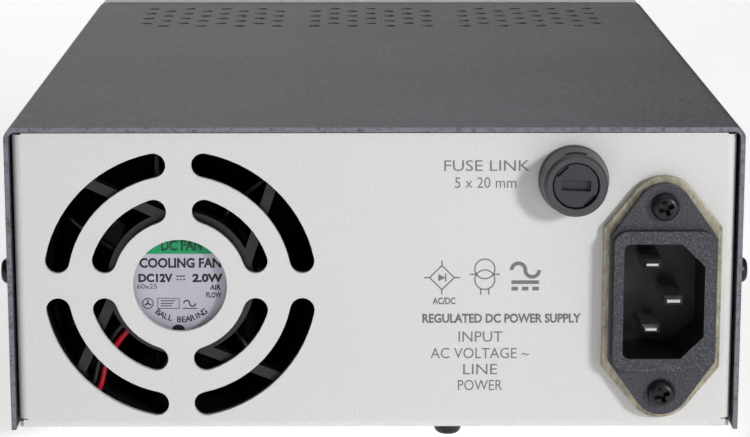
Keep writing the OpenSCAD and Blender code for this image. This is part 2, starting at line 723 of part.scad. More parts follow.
// The rocker rests with its lower half pressed in
module power_rocker() color([0.1, 0.1, 0.1]) translate([switch_cx, rocker_y, lower_cz])
    rotate([rocker_throw / 2, 0, 0]) {
        difference() {
            bar_x(-rocker_w / 2, rocker_w / 2, 0, 0, 2 * rocker_r);
            for (s = [-1, 1]) rotate([s * rocker_throw / 2, 0, 0])
                block([-rocker_w, -rocker_r - 2, s < 0 ? -2 * rocker_r : 0],
                    [rocker_w, -rocker_face, s < 0 ? 0 : 2 * rocker_r]);
            block([-rocker_w, rocker_face, -rocker_r - 1], [rocker_w, rocker_r + 1, rocker_r + 1]);
        }
        bar_x(-rocker_w / 2 - 0.7, rocker_w / 2 + 0.7, 0, 0, pivot_d);
    }

// ---- Binding posts ----

module post_base(x, c) color(c) translate([x, 0, lower_cz]) difference() {
    union() {
        bar_y(0, 0, front_y - post_base_h, front_y, post_base_d);
        bar_y(0, 0, front_y - 1, wall_y, post_neck_d);
    }
    bar_y(0, 0, front_y - post_base_h - 1, wall_y + 1, stud_d + 2 * run);
}

module post_stud(x) color(steel) translate([x, 0, lower_cz]) difference() {
    bar_y(0, 0, stud_y0, front_y + stud_rear, stud_d);
    bar_y(0, 0, stud_y0 - 1, stud_y0 + socket_depth, socket_d);
}

module cap_insert(x) color(brass) translate([x, 0, lower_cz]) difference() {
    bar_y(0, 0, cap_y0 + cap_face_t, cap_y0 + cap_face_t + insert_h, insert_d);
    bar_y(0, 0, cap_y0, cap_y1, stud_d + 2 * run);
}

module post_cap(x, c) color(c) translate([x, 0, lower_cz]) difference() {
    union() {
        bar_y(0, 0, cap_y0 + 0.8, cap_y1, post_cap_d);
        translate([0, cap_y0 + 0.8, 0]) rotate([90, 0, 0])
            cylinder(h = 0.8, d1 = post_cap_d, d2 = post_cap_d - 1.6);
    }
    bar_y(0, 0, cap_y0 - 1, cap_y1 + 1, socket_d + 2 * gap);
    bar_y(0, 0, cap_y0 + cap_face_t - run, cap_y1 + 1, insert_d + 2 * run);
    for (i = [0:rib_count - 1]) rotate([0, i * 360 / rib_count, 0])
        bar_y(post_cap_d / 2 + 0.15, 0, cap_y0 + 3, cap_y1 + 1, 1.1, $fn = 16);
}

module red_post_base() post_base(red_cx, red_plastic);
module red_post_stud() post_stud(red_cx);
module red_cap_insert() cap_insert(red_cx);
module red_post_cap() post_cap(red_cx, red_plastic);
module green_post_base() post_base(green_cx, green_plastic);
module green_post_stud() post_stud(green_cx);
module green_cap_insert() cap_insert(green_cx);
module green_post_cap() post_cap(green_cx, green_plastic);
module black_post_base() post_base(black_cx, black_plastic);
module black_post_stud() post_stud(black_cx);
module black_cap_insert() cap_insert(black_cx);
module black_post_cap() post_cap(black_cx, black_plastic);

lug_t = 0.8;
lug_y = wall_y + post_nut_h;
module post_nuts() color(steel) for (x = post_xs, y = [wall_y, lug_y + lug_t])
    translate([x, y, lower_cz]) rotate([-90, 0, 0]) hex_nut(post_nut_af, post_nut_h, stud_d + 2 * run);

// ---- Mains inlet ----

module inlet_filter() color(khaki_steel) translate([inlet_cx, 0, inlet_cz]) difference() {
    union() {
        slab_y(panel_y, panel_y + filter_t) tipped_plate(filter_w, filter_h, 30, 7.4);
        slab_y(panel_y - filter_d, panel_y + eps) round_rect(can_w, can_h, 1.2);
    }
    slab_y(panel_y - 14, panel_y + filter_t + 1) round_rect(body_w, body_h - 1, 1);
    for (s = [-1, 1]) bar_y(0, s * inlet_pitch / 2, panel_y - 1, panel_y + filter_t + 1, m3_hole);
    for (p = [[pin_x, pin_z], [pin_x, -pin_z], [-pin_x, 0]])
        block([p[0] - tab[1] / 2, panel_y - filter_d - 1, p[1] - tab[0] / 2],
            [p[0] + tab[1] / 2, panel_y - filter_d + 2, p[1] + tab[0] / 2]);
}

// The socket has two bevelled corners on the side of the middle pin
module socket_outline() difference() {
    round_rect(socket_w, socket_h, 1.5);
    for (s = [-1, 1]) translate([-socket_w / 2, s * socket_h / 2]) rotate(45)
        square(socket_bevel * sqrt(2), center = true);
}

module inlet_body() color(black_plastic) translate([inlet_cx, 0, inlet_cz]) difference() {
    union() {
        slab_y(panel_y + filter_t, panel_y + filter_t + inlet_t) tipped_plate(flange_w, flange_h, 26.5, 6);
        slab_y(panel_y + filter_t, panel_y + inlet_proud) round_rect(body_w, body_h, 3);
        slab_y(panel_y - 13.9, panel_y + filter_t + eps)
            round_rect(body_w - 2 * fit, body_h - 1 - 2 * fit, 1);
    }
    slab_y(panel_y + inlet_proud - inlet_depth, panel_y + inlet_proud + 1) socket_outline();
    for (s = [-1, 1]) bar_y(0, s * inlet_pitch / 2, panel_y, panel_y + filter_t + inlet_t + 1, m3_hole);
    for (p = [[pin_x, pin_z], [pin_x, -pin_z], [-pin_x, 0]]) translate([p[0], 0, p[1]])
        slab_y(panel_y - 14, panel_y) square(pin, center = true);
}

module inlet_pins() color(steel) translate([inlet_cx, 0, inlet_cz])
    for (p = [[pin_x, pin_z, 4.2], [pin_x, -pin_z, 4.2], [-pin_x, 0, 0.6]]) {
        translate([p[0], 0, p[1]]) slab_y(panel_y - 13.9, panel_y + inlet_proud - p[2] - 0.6)
            square(pin, center = true);
        translate([p[0], 0, p[1]]) slab_y(panel_y + inlet_proud - p[2] - 0.7, panel_y + inlet_proud - p[2])
            square([pin[0] - 1, pin[1] - 0.8], center = true);
        block([p[0] - tab[1] / 2, panel_y - filter_d - tab[2], p[1] - tab[0] / 2],
            [p[0] + tab[1] / 2, panel_y - filter_d + 2, p[1] + tab[0] / 2]);
    }

// Two screws hold the flange, and a third holds the inlet's earth lead to the tray
inlet_head = [5.9, 2.3];    // diameter and height of these screws' heads
module inlet_screws() color(black_plastic) {
    for (s = [-1, 1])
        translate([inlet_cx, panel_y + filter_t + inlet_t, inlet_cz + s * inlet_pitch / 2])
            rotate([-90, 0, 0]) pan_screw(10, head_d = inlet_head[0], head_h = inlet_head[1]);
    translate([earth_cx, earth_y, base_z]) mirror([0, 0, 1])
        pan_screw(6, head_d = inlet_head[0], head_h = inlet_head[1]);
}

module inlet_nuts() color(steel) {
    for (s = [-1, 1]) translate([inlet_cx, inner_y, inlet_cz + s * inlet_pitch / 2])
        rotate([90, 0, 0]) hex_nut(m3_nut, m3_nut_h, m3_d + 2 * run);
    translate([earth_cx, earth_y, floor_z + lug_t]) hex_nut(m3_nut, m3_nut_h, m3_d + 2 * run);
}

// ---- Fuse holder ----

module fuse_holder() color(black_plastic) translate([fuse_cx, 0, fuse_cz]) difference() {
    union() {
        translate([0, panel_y, 0]) rotate([-90, 0, 0]) {
            edge_d = fuse_face_d + 0.8;
            cylinder(h = 1.2, d = fuse_base_d);
            translate([0, 0, 1.2]) cylinder(h = fuse_proud - 1.8, d1 = fuse_base_d - 0.3, d2 = edge_d);
            translate([0, 0, fuse_proud - 0.6]) cylinder(h = 0.6, d1 = edge_d, d2 = fuse_face_d - 0.4);
        }
        bar_y(0, 0, panel_y - fuse_body_l, panel_y + eps, fuse_body_d);
        block([-2.4, fuse_back, -0.4], [2.4, panel_y - fuse_body_l + 1, 0.4]);
        block([-fuse_body_d / 2 - fuse_tab_l, fuse_tab_y - 2.4, -0.4],
            [-fuse_body_d / 2 + 0.6, fuse_tab_y + 2.4, 0.4]);
    }
    bar_y(0, 0, panel_y - fuse_body_l + 2, fuse_y1 + 1, carrier_d + 2 * gap);
    bar_y(0, 0, fuse_y1 - 3 - gap, fuse_y1 + 1, fuse_cap_d + 2 * gap);
}

module fuse_nut() color(black_plastic) translate([fuse_cx, inner_y, fuse_cz])
    rotate([90, 0, 0]) hex_nut(fuse_nut_af, fuse_nut_h, fuse_body_d + 2 * run);

link_y1 = fuse_y1 - cap_inset - 5;
module fuse_link() color(silver) translate([fuse_cx, 0, fuse_cz])
    bar_y(0, 0, link_y1 - fuse_len, link_y1, fuse_d);

module fuse_cap() color([0.18, 0.18, 0.2]) translate([fuse_cx, 0, fuse_cz]) difference() {
    union() {
        bar_y(0, 0, fuse_y1 - 3, fuse_y1 - cap_inset, fuse_cap_d);
        bar_y(0, 0, fuse_y1 - 12, fuse_y1 - 2, carrier_d);
    }
    bar_y(0, 0, fuse_y1 - 13, link_y1 + run, fuse_d + 2 * run);
    rotate([0, -3, 0]) block([-fuse_slot[0] / 2, fuse_y1 - cap_inset - fuse_slot[2], -fuse_slot[1] / 2],
        [fuse_slot[0] / 2, fuse_y1 + 1, fuse_slot[1] / 2]);
    for (a = [43, 223]) rotate([0, a, 0])
        block([-1.5, fuse_y1 - cap_inset - 1, fuse_cap_d / 2 - 0.7], [1.5, fuse_y1 + 1, fuse_cap_d]);
}

// ---- Fan ----

// The four corners of the fan's screw pattern
module fan_corners() for (sx = [-1, 1], sz = [-1, 1])
    translate([fan_cx + sx * fan_hole_pitch / 2, 0, fan_cz + sz * fan_hole_pitch / 2]) children();

// A flat bar in the fan's plane, from the hub to the duct
module strut(turn) rotate([0, turn, 0]) {
    v = strut_out - strut_in;
    slab_y(fan_rear - 3.4, fan_rear) translate([-strut_in[0], strut_in[1]])
        rotate(180 - atan2(v[1], v[0])) translate([-1, -strut_w / 2]) square([norm(v) + 1.6, strut_w]);
}

module fan_frame() color(black_plastic) difference() {
    union() {
        translate([fan_cx, 0, fan_cz]) {
            difference() {
                union() {
                    for (y = [fan_rear - fan_flange_t, fan_front])
                        slab_y(y, y + fan_flange_t) round_rect(fan_size, fan_size, 4);
                    bar_y(0, 0, fan_front, fan_rear, fan_size - 0.2);
                }
                bar_y(0, 0, fan_front - 1, fan_rear + 1, 2 * duct_r);
            }
            bar_y(0, 0, fan_rear - stator_t, fan_rear, 2 * hub_r);
            for (turn = strut_turns) strut(turn);
        }
    }
    fan_corners() bar_y(0, 0, fan_front - 1, fan_rear + 1, fan_hole_d);
    bar_y(fan_cx, fan_cz, fan_rear - label_t, fan_rear + 1, 2 * label_r + 0.4);
    bar_y(fan_cx, fan_cz, fan_rear - stator_t - 1, fan_rear - 1, 3 + 2 * run);
    block([fan_cx + 17, fan_rear - lead_channel, fan_cz - 27.6],
        [fan_cx + fan_size, fan_rear + 1, fan_cz - 23.6]);
    block([fan_cx + 16.2, fan_rear - lead_channel, fan_cz - 27.6],
        [fan_cx + 21.2, fan_rear + 1, fan_cz - 20]);
}

module fan_rotor() color(black_plastic) translate([fan_cx, fan_rear - stator_t - 1, fan_cz])
    rotate([90, 0, 0]) {
    h = fan_d - stator_t - 2;
    difference() {
        cylinder(h = h, r = hub_r - 0.3);
        translate([0, 0, -1]) cylinder(h = h - 1, r = hub_r - 2);
    }
    translate([0, 0, 2 - stator_t]) cylinder(h = h + stator_t - 3, d = 3);
    for (i = [0:blades - 1]) rotate(i * 360 / blades) intersection() {
        translate([0, 0, 0.5]) difference() {
            cylinder(h = h - 1, r = duct_r - 0.9);
            translate([0, 0, -1]) cylinder(h = h + 2, r = hub_r - 0.8);
        }
        translate([duct_r / 2 + hub_r / 2, 0, h / 2]) rotate([blade_tilt, 0, 0])
            cube([duct_r, 1.4, 3 * h], center = true);
    }
}

module fan_label() color(silver) bar_y(fan_cx, fan_cz, fan_rear - label_t, fan_rear, 2 * label_r);

module fan_bracket() color(steel) difference() {
    union() {
        block([fan_cx - fan_size / 2, fan_front - tray_t, floor_z],
            [fan_cx + fan_size / 2, fan_front, fan_cz + 29]);
        block([fan_cx - fan_size / 2, fan_front - tray_t - bracket_foot, floor_z],
            [fan_cx + fan_size / 2, fan_front, floor_z + tray_t]);
    }
    bar_y(fan_cx, fan_cz, fan_front - 2 * tray_t, fan_front + 1, 2 * duct_r);
    block([fan_cx - duct_r + 8, fan_front - 2 * tray_t, fan_cz],
        [fan_cx + duct_r - 8, fan_front + 1, fan_cz + fan_size]);
    fan_corners() bar_y(0, 0, fan_front - 2 * tray_t, fan_front + 1, fan_hole_d);
    for (s = [-1, 1]) translate([fan_cx + s * bracket_side, bracket_hole_y, floor_z - 1])
        cylinder(h = tray_t + 2, d = m3_tap);
}

module fan_screws() color(steel) {
    fan_corners() translate([0, fan_front - tray_t, 0]) rotate([90, 0, 0])
        pan_screw(10, d = fan_hole_d - 2 * fit, head_d = 6.4);
    for (s = [-1, 1]) translate([fan_cx + s * bracket_side, bracket_hole_y, base_z])
        mirror([0, 0, 1]) pan_screw(4);
}

// The two leads leave the hub, follow a strut, cross the corner in a channel and turn forward
fan_plug = [fan_cx - 22, board_y1 - 6, board_top];
function lead_points(s) = [
    [fan_cx + 11.2 + s * 0.6, fan_rear - 1.6, fan_cz - 9.2 + s * 0.6],
    [fan_cx + 14.6 + s * 0.6, fan_rear - 2, fan_cz - 13.2 + s * 0.6],
    [fan_cx + 17.1 + s * 0.75, fan_rear - 2, fan_cz - 18.2 + s * 0.3],
    [fan_cx + 18.3 + s * 0.75, fan_rear - 2, fan_cz - 22.4 + s * 0.3],
    [fan_cx + 20.9 + s * 0.5, fan_rear - 1.9, fan_cz - 25.6 + s * 0.8],
    [fan_cx + fan_size / 2 - 1, fan_rear - 1.9, fan_cz - 25.6 + s * 0.8],
    [fan_cx + fan_size / 2 + 1.6, fan_rear - 4, fan_cz - 25.6 + s * 0.8],
    [fan_cx + fan_size / 2 + 1.6, fan_front - 2, floor_z + 4.4 + s * 0.8],
    [fan_cx + 16, fan_front - 10 + s * 0.5, floor_z + 6 + s * 0.8],
    [fan_plug[0] + 2, fan_plug[1] + s * 1.3, fan_plug[2] + 11],
    [fan_plug[0], fan_plug[1] + s * 1.3, fan_plug[2] + 6]];
module fan_lead_red() color(red_plastic) wire(lead_points(-1), lead_d);
module fan_lead_black() color(black_plastic) wire(lead_points(1), lead_d);

// ---- Main board ----

module header(p, w) block([p[0] - w / 2, p[1] - 3, p[2]], [p[0] + w / 2, p[1] + 3, p[2] + 7]);

display_plug = [0, board_y0 + 8, board_top];
module main_board() {
    color(board_green) difference() {
        block([-board_w / 2, board_y0, board_z], [board_w / 2, board_y1, board_top]);
        for (x = standoff_xs, y = standoff_ys) translate([x, y, board_z - 1])
            cylinder(h = board_t + 2, d = m3_hole);
    }
    color([0.9, 0.9, 0.85]) header(fan_plug, 8);
    color([0.9, 0.9, 0.85]) header(display_plug, 18);
    color([0.9, 0.9, 0.85]) header(mains_plug, 9);
}

module standoffs() color([0.9, 0.9, 0.88]) for (x = standoff_xs, y = standoff_ys) translate([x, y, 0]) {
    translate([0, 0, floor_z]) cylinder(h = standoff_h, d = 6.9, $fn = 6);
    translate([0, 0, base_z + 0.1]) cylinder(h = tray_t + board_t + standoff_h + 0.9, d = m3_d);
}

function on_board(x, y) = [x, board_y0 + y, board_top];

module transformer() color([0.25, 0.24, 0.22]) translate(on_board(14, 72)) {
    for (s = [-1, 1]) translate([0, s * 15.5, 20]) cube([42, 9, 34], center = true);
    translate([0, 0, 20]) cube([42, 24, 8], center = true);
    difference() {
        translate([0, 0, 20]) cube([30, 22, 28], center = true);
        translate([0, 0, 20]) cube([44, 26, 8], center = true);
    }
    translate([-16, -10, 0]) cube([32, 20, 6]);
}

module capacitors() color([0.15, 0.15, 0.22]) {
    for (y = [82, 108]) translate(on_board(-52, y)) cylinder(h = 40, d = 25);
    for (i = [0:3]) translate(on_board(i * 14 - 12, 104)) cylinder(h = 25, d = 12.5);
}

module toroid(d, hole, h) rotate_extrude() translate([hole / 2, 0]) square([(d - hole) / 2, h]);
module chokes() color([0.72, 0.45, 0.2]) {
    translate(on_board(-53, 36)) toroid(26, 12, 14);
    translate(on_board(22, 24)) toroid(34, 16, 15);
}

// A finned aluminium bar that stands on edge, with its fins towards +X
sink_h = 36;
sink_l = 78;
module sink_outline() {
    square([3, sink_h]);
    for (i = [0:5]) translate([0, 1 + i * 6.4]) square([11, 1.6]);
}
module heatsinks() color(silver) for (p = [[-33, 32], [44, 32]])
    translate(on_board(p[0], p[1] + sink_l)) rotate([90, 0, 0]) linear_extrude(sink_l) sink_outline();

module transistors() color(black_plastic) for (p = [[-38.2, 46], [-38.2, 92], [38.8, 60], [38.8, 92]])
    translate(on_board(p[0], p[1])) translate([0, -8, 5]) cube([5.2, 16, 21]);

// ---- Wiring ----

inlet_back = panel_y - filter_d - tab[2];
side_x = 4 - tray_w / 2;
side_z = board_top + 8;
wire_d = 2.2;
lead_step = 4;              // height between the leads that run along the side
mains_plug = [-board_w / 2 + 12, board_y0 + 8, board_top];

// The two leads to the power switch run forward along the left side of the board
function to_switch(k) = [
    [side_x, board_y1 - 14, side_z + k * lead_step],
    [side_x, board_y0 + 4, side_z + k * lead_step],
    [switch_cx + switch_tabs[3 - 2 * k][0], switch_back + 8,
        lower_cz + switch_tabs[1][1] - (1 - k) * lead_step],
    [switch_cx + switch_tabs[3 - 2 * k][0], switch_back - 2, lower_cz + switch_tabs[1][1]]];

module mains_leads() color([0.35, 0.2, 0.12]) {
    // Live, inlet to fuse
    wire([[inlet_cx + pin_x, inlet_back + 2, inlet_cz + pin_z],
        [inlet_cx + pin_x, inlet_back - 4, inlet_cz + pin_z],
        [fuse_cx, fuse_back - 7, fuse_cz - 8],
        [fuse_cx, fuse_back - 6, fuse_cz - 1],
        [fuse_cx, fuse_back + 1, fuse_cz]], wire_d);
    // Neutral, inlet to switch
    wire(concat([[inlet_cx + pin_x, inlet_back + 2, inlet_cz - pin_z],
        [inlet_cx + pin_x, inlet_back - 8, inlet_cz - pin_z]], to_switch(0)), wire_d);
    // Live, fuse to switch
    wire(concat([[fuse_cx - fuse_body_d / 2 - fuse_tab_l + 2, fuse_tab_y, fuse_cz],
        [fuse_cx - fuse_body_d / 2 - fuse_tab_l - 5, fuse_tab_y - 4, fuse_cz],
        [side_x + 1, fuse_tab_y - 20, side_z + 14]], to_switch(1)), wire_d);
    // Earth, inlet to a lug on the tray
    wire([[inlet_cx - pin_x, inlet_back + 2, inlet_cz],
        [inlet_cx - pin_x, inlet_back - 3, inlet_cz - 2],
        [inlet_cx - pin_x + 4, inlet_back - 5, floor_z + 9],
        [earth_cx - 20, earth_y - 12, floor_z + 3.5],
        [earth_cx - 8, earth_y, floor_z + wire_d / 2 + 0.1],
        [earth_cx - 6, earth_y, floor_z + wire_d / 2 + 0.1]], wire_d);
    translate([earth_cx, earth_y, floor_z]) difference() {
        union() {
            cylinder(h = lug_t, d = m3_head_d + 1);
            translate([-8, -2, 0]) cube([6, 4, lug_t]);
        }
        translate([0, 0, -1]) cylinder(h = lug_t + 2, d = m3_hole);
    }
    // Switch to board
    for (k = [0, 1]) wire([
        [switch_cx + switch_tabs[2 * k][0], switch_back - 2, lower_cz + switch_tabs[0][1]],
        [switch_cx + switch_tabs[2 * k][0], switch_back + 6, lower_cz + switch_tabs[0][1]],
        [mains_plug[0] - 1.5 + k * 3, mains_plug[1] - 1, mains_plug[2] + 14],
        [mains_plug[0] - 1.5 + k * 3, mains_plug[1], mains_plug[2] + 6]], wire_d);
}

module output_leads() color(red_plastic) for (x = post_xs) {
    difference() {
        union() {
            bar_y(x, lower_cz, lug_y, lug_y + lug_t, 11);
            block([x - 2, lug_y, lower_cz - 11], [x + 2, lug_y + lug_t, lower_cz - 3]);
        }
        bar_y(x, lower_cz, lug_y - 1, lug_y + 2, stud_d + 2 * run);
    }
    wire([[x, lug_y + 1, lower_cz - 10.2], [x, board_y0 - 8, lower_cz - 10.2],
        [x, board_y0 + 3, board_top + 8], [x, board_y0 + 3, board_top]], 2);
}

// Flat cable from the front board down to the main board
module display_cable() color(silver) {
    y0 = front_board_y + board_t;
    z0 = front_board_z0 + 14;
    y1 = display_plug[1];
    z1 = board_top + 7;
    t = 1.2;
    slab_x(-7, 7) polygon([[y0, z0], [y0 + 5, z0], [y1 + t, z1 + 12], [y1 + t, z1],
        [y1, z1], [y1, z1 + 12 - t], [y0 + 5 - t, z0 - t], [y0, z0 - t]]);
}

chassis_tray();
top_cover();
cover_screws();
feet();
foot_screws();
front_bezel();
bezel_screws();
fascia();
display_window();
led_displays();
front_board();
indicator_leds();
encoders();
voltage_shaft();
voltage_knob();
current_shaft();
current_knob();
output_button();
output_switch();
power_switch();
power_rocker();
red_post_base();
red_post_stud();
red_cap_insert();
red_post_cap();
green_post_base();
green_post_stud();
green_cap_insert();
green_post_cap();
black_post_base();
black_post_stud();
black_cap_insert();
black_post_cap();
post_nuts();
inlet_filter();
inlet_body();
inlet_pins();
inlet_screws();
inlet_nuts();
fuse_holder();
fuse_nut();
fuse_link();
fuse_cap();
fan_frame();
fan_rotor();
fan_label();
fan_bracket();
fan_screws();
fan_lead_red();
fan_lead_black();
main_board();
standoffs();
transformer();
capacitors();
chokes();
heatsinks();
transistors();
mains_leads();
output_leads();
display_cable();
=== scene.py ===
# %% [markdown]
# # A bench power supply, finished in Blender
# The shapes, sizes and joints of this little laboratory supply come from a CAD model, which arrives
# as one mesh for each real part. This lesson gives the parts their edges, paint, plastic and print,
# and builds the pieces whose looks need a finer mesh than a CAD model has.

# %% Load the frame
import json
import math

import bmesh
import bpy
from mathutils import Matrix, Vector


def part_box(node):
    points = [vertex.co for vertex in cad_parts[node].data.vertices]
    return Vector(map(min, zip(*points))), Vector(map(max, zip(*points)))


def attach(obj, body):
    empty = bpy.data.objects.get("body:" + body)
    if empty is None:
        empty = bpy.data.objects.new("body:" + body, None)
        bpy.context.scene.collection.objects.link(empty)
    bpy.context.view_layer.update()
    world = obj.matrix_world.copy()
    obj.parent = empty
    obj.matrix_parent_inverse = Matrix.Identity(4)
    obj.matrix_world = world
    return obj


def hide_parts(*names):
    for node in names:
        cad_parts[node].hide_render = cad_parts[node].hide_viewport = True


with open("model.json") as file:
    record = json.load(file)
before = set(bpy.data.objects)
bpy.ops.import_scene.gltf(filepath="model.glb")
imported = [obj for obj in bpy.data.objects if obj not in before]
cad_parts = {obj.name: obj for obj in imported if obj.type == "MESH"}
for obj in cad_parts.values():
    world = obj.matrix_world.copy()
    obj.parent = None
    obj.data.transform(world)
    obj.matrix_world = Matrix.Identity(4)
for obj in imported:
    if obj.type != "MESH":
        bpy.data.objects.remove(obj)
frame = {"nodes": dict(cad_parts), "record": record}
CAD = frame["nodes"]
scene = bpy.context.scene
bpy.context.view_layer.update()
MM = 0.001

# %% [markdown]
# ## Where things are
# Every place is read from the CAD parts, so that nothing drifts if a part moves. The rear panel is a
# plane across Y. The fan, the fuse holder and the mains inlet each have an axis through it.

# %% Places on the rear and the front
def middle(node):
    """The middle of a CAD part's box."""
    low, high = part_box(node)
    return (low + high) / 2


fan = middle("fan_label")
fuse = middle("fuse_cap")
inlet = middle("inlet_body")
panel_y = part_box("chassis_tray")[1].y
fascia_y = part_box("fascia")[0].y
fan_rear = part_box("fan_frame")[1].y
print("rear panel at", round(panel_y / MM, 1), "mm, fascia at", round(fascia_y / MM, 1), "mm")

# %% [markdown]
# ## Camera
# A long lens from behind and a little above shows the rear panel almost square on. The camera comes
# first, because everything after it is judged through it.

# %% Set the camera
camera = bpy.data.objects.new("camera", bpy.data.cameras.new("camera"))
scene.collection.objects.link(camera)
TILT, PAN = 11.93, 0.356
camera.data.lens = 126.5
camera.location = (0.0033, 0.6546, 0.1644)
camera.rotation_euler = (math.radians(90 - TILT), 0, math.radians(180 - PAN))
scene.camera = camera
scene.view_settings.view_transform = "Standard"
print("camera looks down", TILT, "degrees")

# %% [markdown]
# ## Floor and light
# A product on white stands on a pale sheet. One lamp of modest size, to the right of the rear panel,
# gives the soft shadows beside the fuse holder and the inlet. Large lamps overhead and in front lift
# the rest, and a pale world fills what is left.

# %% Floor
def flat_sheet(name, half, z):
    mesh = bpy.data.meshes.new(name)
    corners = [(-half, -half, z), (half, -half, z), (half, half, z), (-half, half, z)]
    mesh.from_pydata(corners, [], [(0, 1, 2, 3)])
    made = bpy.data.objects.new(name, mesh)
    scene.collection.objects.link(made)
    return made


floor = flat_sheet("floor", 4, 0)

# %% Lamps
def lamp(name, place, target, size, power):
    """A square soft lamp that faces a target."""
    data = bpy.data.lights.new(name, "AREA")
    data.size, data.energy = size, power
    made = bpy.data.objects.new(name, data)
    made.location = place
    made.rotation_euler = (Vector(target) - Vector(place)).to_track_quat("-Z", "Y").to_euler()
    scene.collection.objects.link(made)
    return made


rear_middle = (0, panel_y, 0.035)
lamp("key_lamp", (-0.75, 1.0, 0.36), rear_middle, 0.17, 8.2)
lamp("top_lamp", (-0.1, 0.25, 1.3), (0, 0.05, 0), 1.1, 3.4)
lamp("rear_fill", (0.25, 1.5, 0.55), rear_middle, 1.2, 1.0)
lamp("front_fill", (0.3, -1.4, 0.7), (0, 0, 0.03), 1.2, 6)
world = bpy.data.worlds.new("pale_room")
world.use_nodes = True
world.node_tree.nodes["Background"].inputs["Color"].default_value = (1, 1, 1, 1)
world.node_tree.nodes["Background"].inputs["Strength"].default_value = 0.1
scene.world = world

# %% [markdown]
# ## Shader maths as Python
# Materials here are small sums: a grain, times a share, plus a base. A Flow wraps one socket, so that
# Python's own operators add the Math nodes. A Finish is one material, and its node method adds any
# other node from a type, its settings and the values of its sockets.

# %% Flow, a value on its way through a material
class Flow:
    """One output socket, which Python's operators can work on."""

    def __init__(self, finish, socket):
        self.finish, self.socket = finish, socket

    def math(self, operation, *values):
        return self.finish.node("ShaderNodeMath", {"operation": operation}, dict(enumerate(values)))

    def __add__(self, other):
        return self.math("ADD", self, other)

    def __sub__(self, other):
        return self.math("SUBTRACT", self, other)

    def __rsub__(self, other):
        return self.math("SUBTRACT", other, self)

    def __mul__(self, other):
        return self.math("MULTIPLY", self, other)

    def __gt__(self, other):
        return self.math("GREATER_THAN", self, other)

    def __lt__(self, other):
        return self.math("LESS_THAN", self, other)

    def __abs__(self):
        return self.math("ABSOLUTE", self)

    __radd__ = __add__
    __rmul__ = __mul__


# %% Finish, a material being mixed
def srgb(red, green, blue):
    """A colour as a paint chart gives it, from 0 to 255, as Blender wants it."""
    return tuple((c / 255 / 12.92 if c < 10.3 else ((c / 255 + 0.055) / 1.055) ** 2.4)
                 for c in (red, green, blue)) + (1,)


class Finish:
    """A material. Constants go on the shader's own sockets."""

    def __init__(self, name, **constants):
        self.material = bpy.data.materials.new(name)
        self.material.use_nodes = True
        self.tree = self.material.node_tree
        self.shader = self.tree.nodes["Principled BSDF"]
        self.feed({key.replace("_", " "): value for key, value in constants.items()})

    def put(self, value, socket):
        if isinstance(value, Flow):
            self.tree.links.new(value.socket, socket)
        else:
            socket.default_value = value

    def feed(self, values):
        for name, value in values.items():
            self.put(value, self.shader.inputs[name])

    def node(self, kind, settings, values, outlet=0):
        made = self.tree.nodes.new(kind)
        for key, value in settings.items():
            if key == "stops":
                ramp = made.color_ramp
                ramp.elements[0].position, ramp.elements[0].color = value[0]
                ramp.elements[1].position, ramp.elements[1].color = value[-1]
                for place, colour in value[1:-1]:
                    ramp.elements.new(place).color = colour
            else:
                setattr(made, key, value)
        for key, value in values.items():
            self.put(value, made.inputs[key])
        return Flow(self, made.outputs[outlet])

    def place(self):
        """Where a point is on the resting object, in metres."""
        return self.node("ShaderNodeTexCoord", {}, {}, "Object")

    def axis(self, name, middle=0.0):
        """How far a point is from a middle along X, Y or Z."""
        return self.node("ShaderNodeSeparateXYZ", {}, {0: self.place()}, name) - middle

    def grain(self, size, detail=2.0, stretch=(1, 1, 1)):
        """A soft random grain of a size in metres, from 0 to 1."""
        place = self.node("ShaderNodeMapping", {}, {"Vector": self.place(), "Scale": stretch})
        return self.node("ShaderNodeTexNoise", {},
                         {"Vector": place, "Scale": 1 / size, "Detail": detail, "Roughness": 0.6})

    def steps(self, value, low, high):
        """A value stretched so that low becomes 0 and high becomes 1, and no further."""
        return self.node("ShaderNodeMapRange", {}, {"Value": value, "From Min": low, "From Max": high})

    def mix(self, share, first, second):
        """Two colours mixed by a share."""
        return self.node("ShaderNodeMix", {"data_type": "RGBA"}, {0: share, 6: first, 7: second}, 2)

    def relief(self, height, depth, strength=1.0):
        """A bump whose height of 1 is a depth in metres."""
        return self.node("ShaderNodeBump", {}, {"Strength": strength, "Distance": depth, "Height": height})


# %% [markdown]
# ## Paint
# Both shells are powder coated. Powder melts into a skin with a fine orange peel, and a textured
# powder leaves small pits that scatter the light into a speckle. A noise of less than a millimetre
# gives the speckle, and a slow noise keeps a large face from looking flat. The cover's rear edge
# gets a painted highlight: a paler colour along its last half millimetre.

# %% Powder coat
def powder_coat(name, dark, light, grain, depth, roughness, highlight_edge=None):
    """A paint of two tones. The last argument paints a highlight: a place on Y and a colour for the rim
    behind it.
    """
    coat = Finish(name, Specular_IOR_Level=0.45)
    speckle = coat.grain(grain, 4)
    clouds = coat.grain(0.06, 2)
    colour = coat.mix(coat.steps(speckle * 0.85 + clouds * 0.15, 0.36, 0.64), dark, light)
    if highlight_edge:
        # Painted highlight: paler paint in the half millimetre before the rear edge, broken by the
        # speckle.
        painted_highlight = coat.steps(coat.axis("Y"), highlight_edge[0] - 0.5 * MM, highlight_edge[0]) * coat.steps(speckle, 0.2, 0.5)
        colour = coat.mix(painted_highlight * 0.75, colour, highlight_edge[1])
    coat.feed({
        "Base Color": colour,
        "Roughness": speckle * 0.18 + roughness,
        "Normal": coat.relief(speckle, depth, 0.6),
    })
    return coat.material


cover_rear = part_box("top_cover")[1].y
panel_paint = powder_coat("panel_paint", srgb(207, 207, 207), srgb(217, 217, 216),
                          0.5 * MM, 0.012 * MM, 0.42)
# The cover paint carries a painted highlight in a paler grey along its rear edge.
cover_paint = powder_coat("cover_paint", srgb(26, 26, 30), srgb(98, 97, 106), 0.85 * MM, 0.08 * MM, 0.52,
                          (cover_rear - 0.1 * MM, srgb(128, 128, 138)))
print("paints:", panel_paint.name, cover_paint.name)

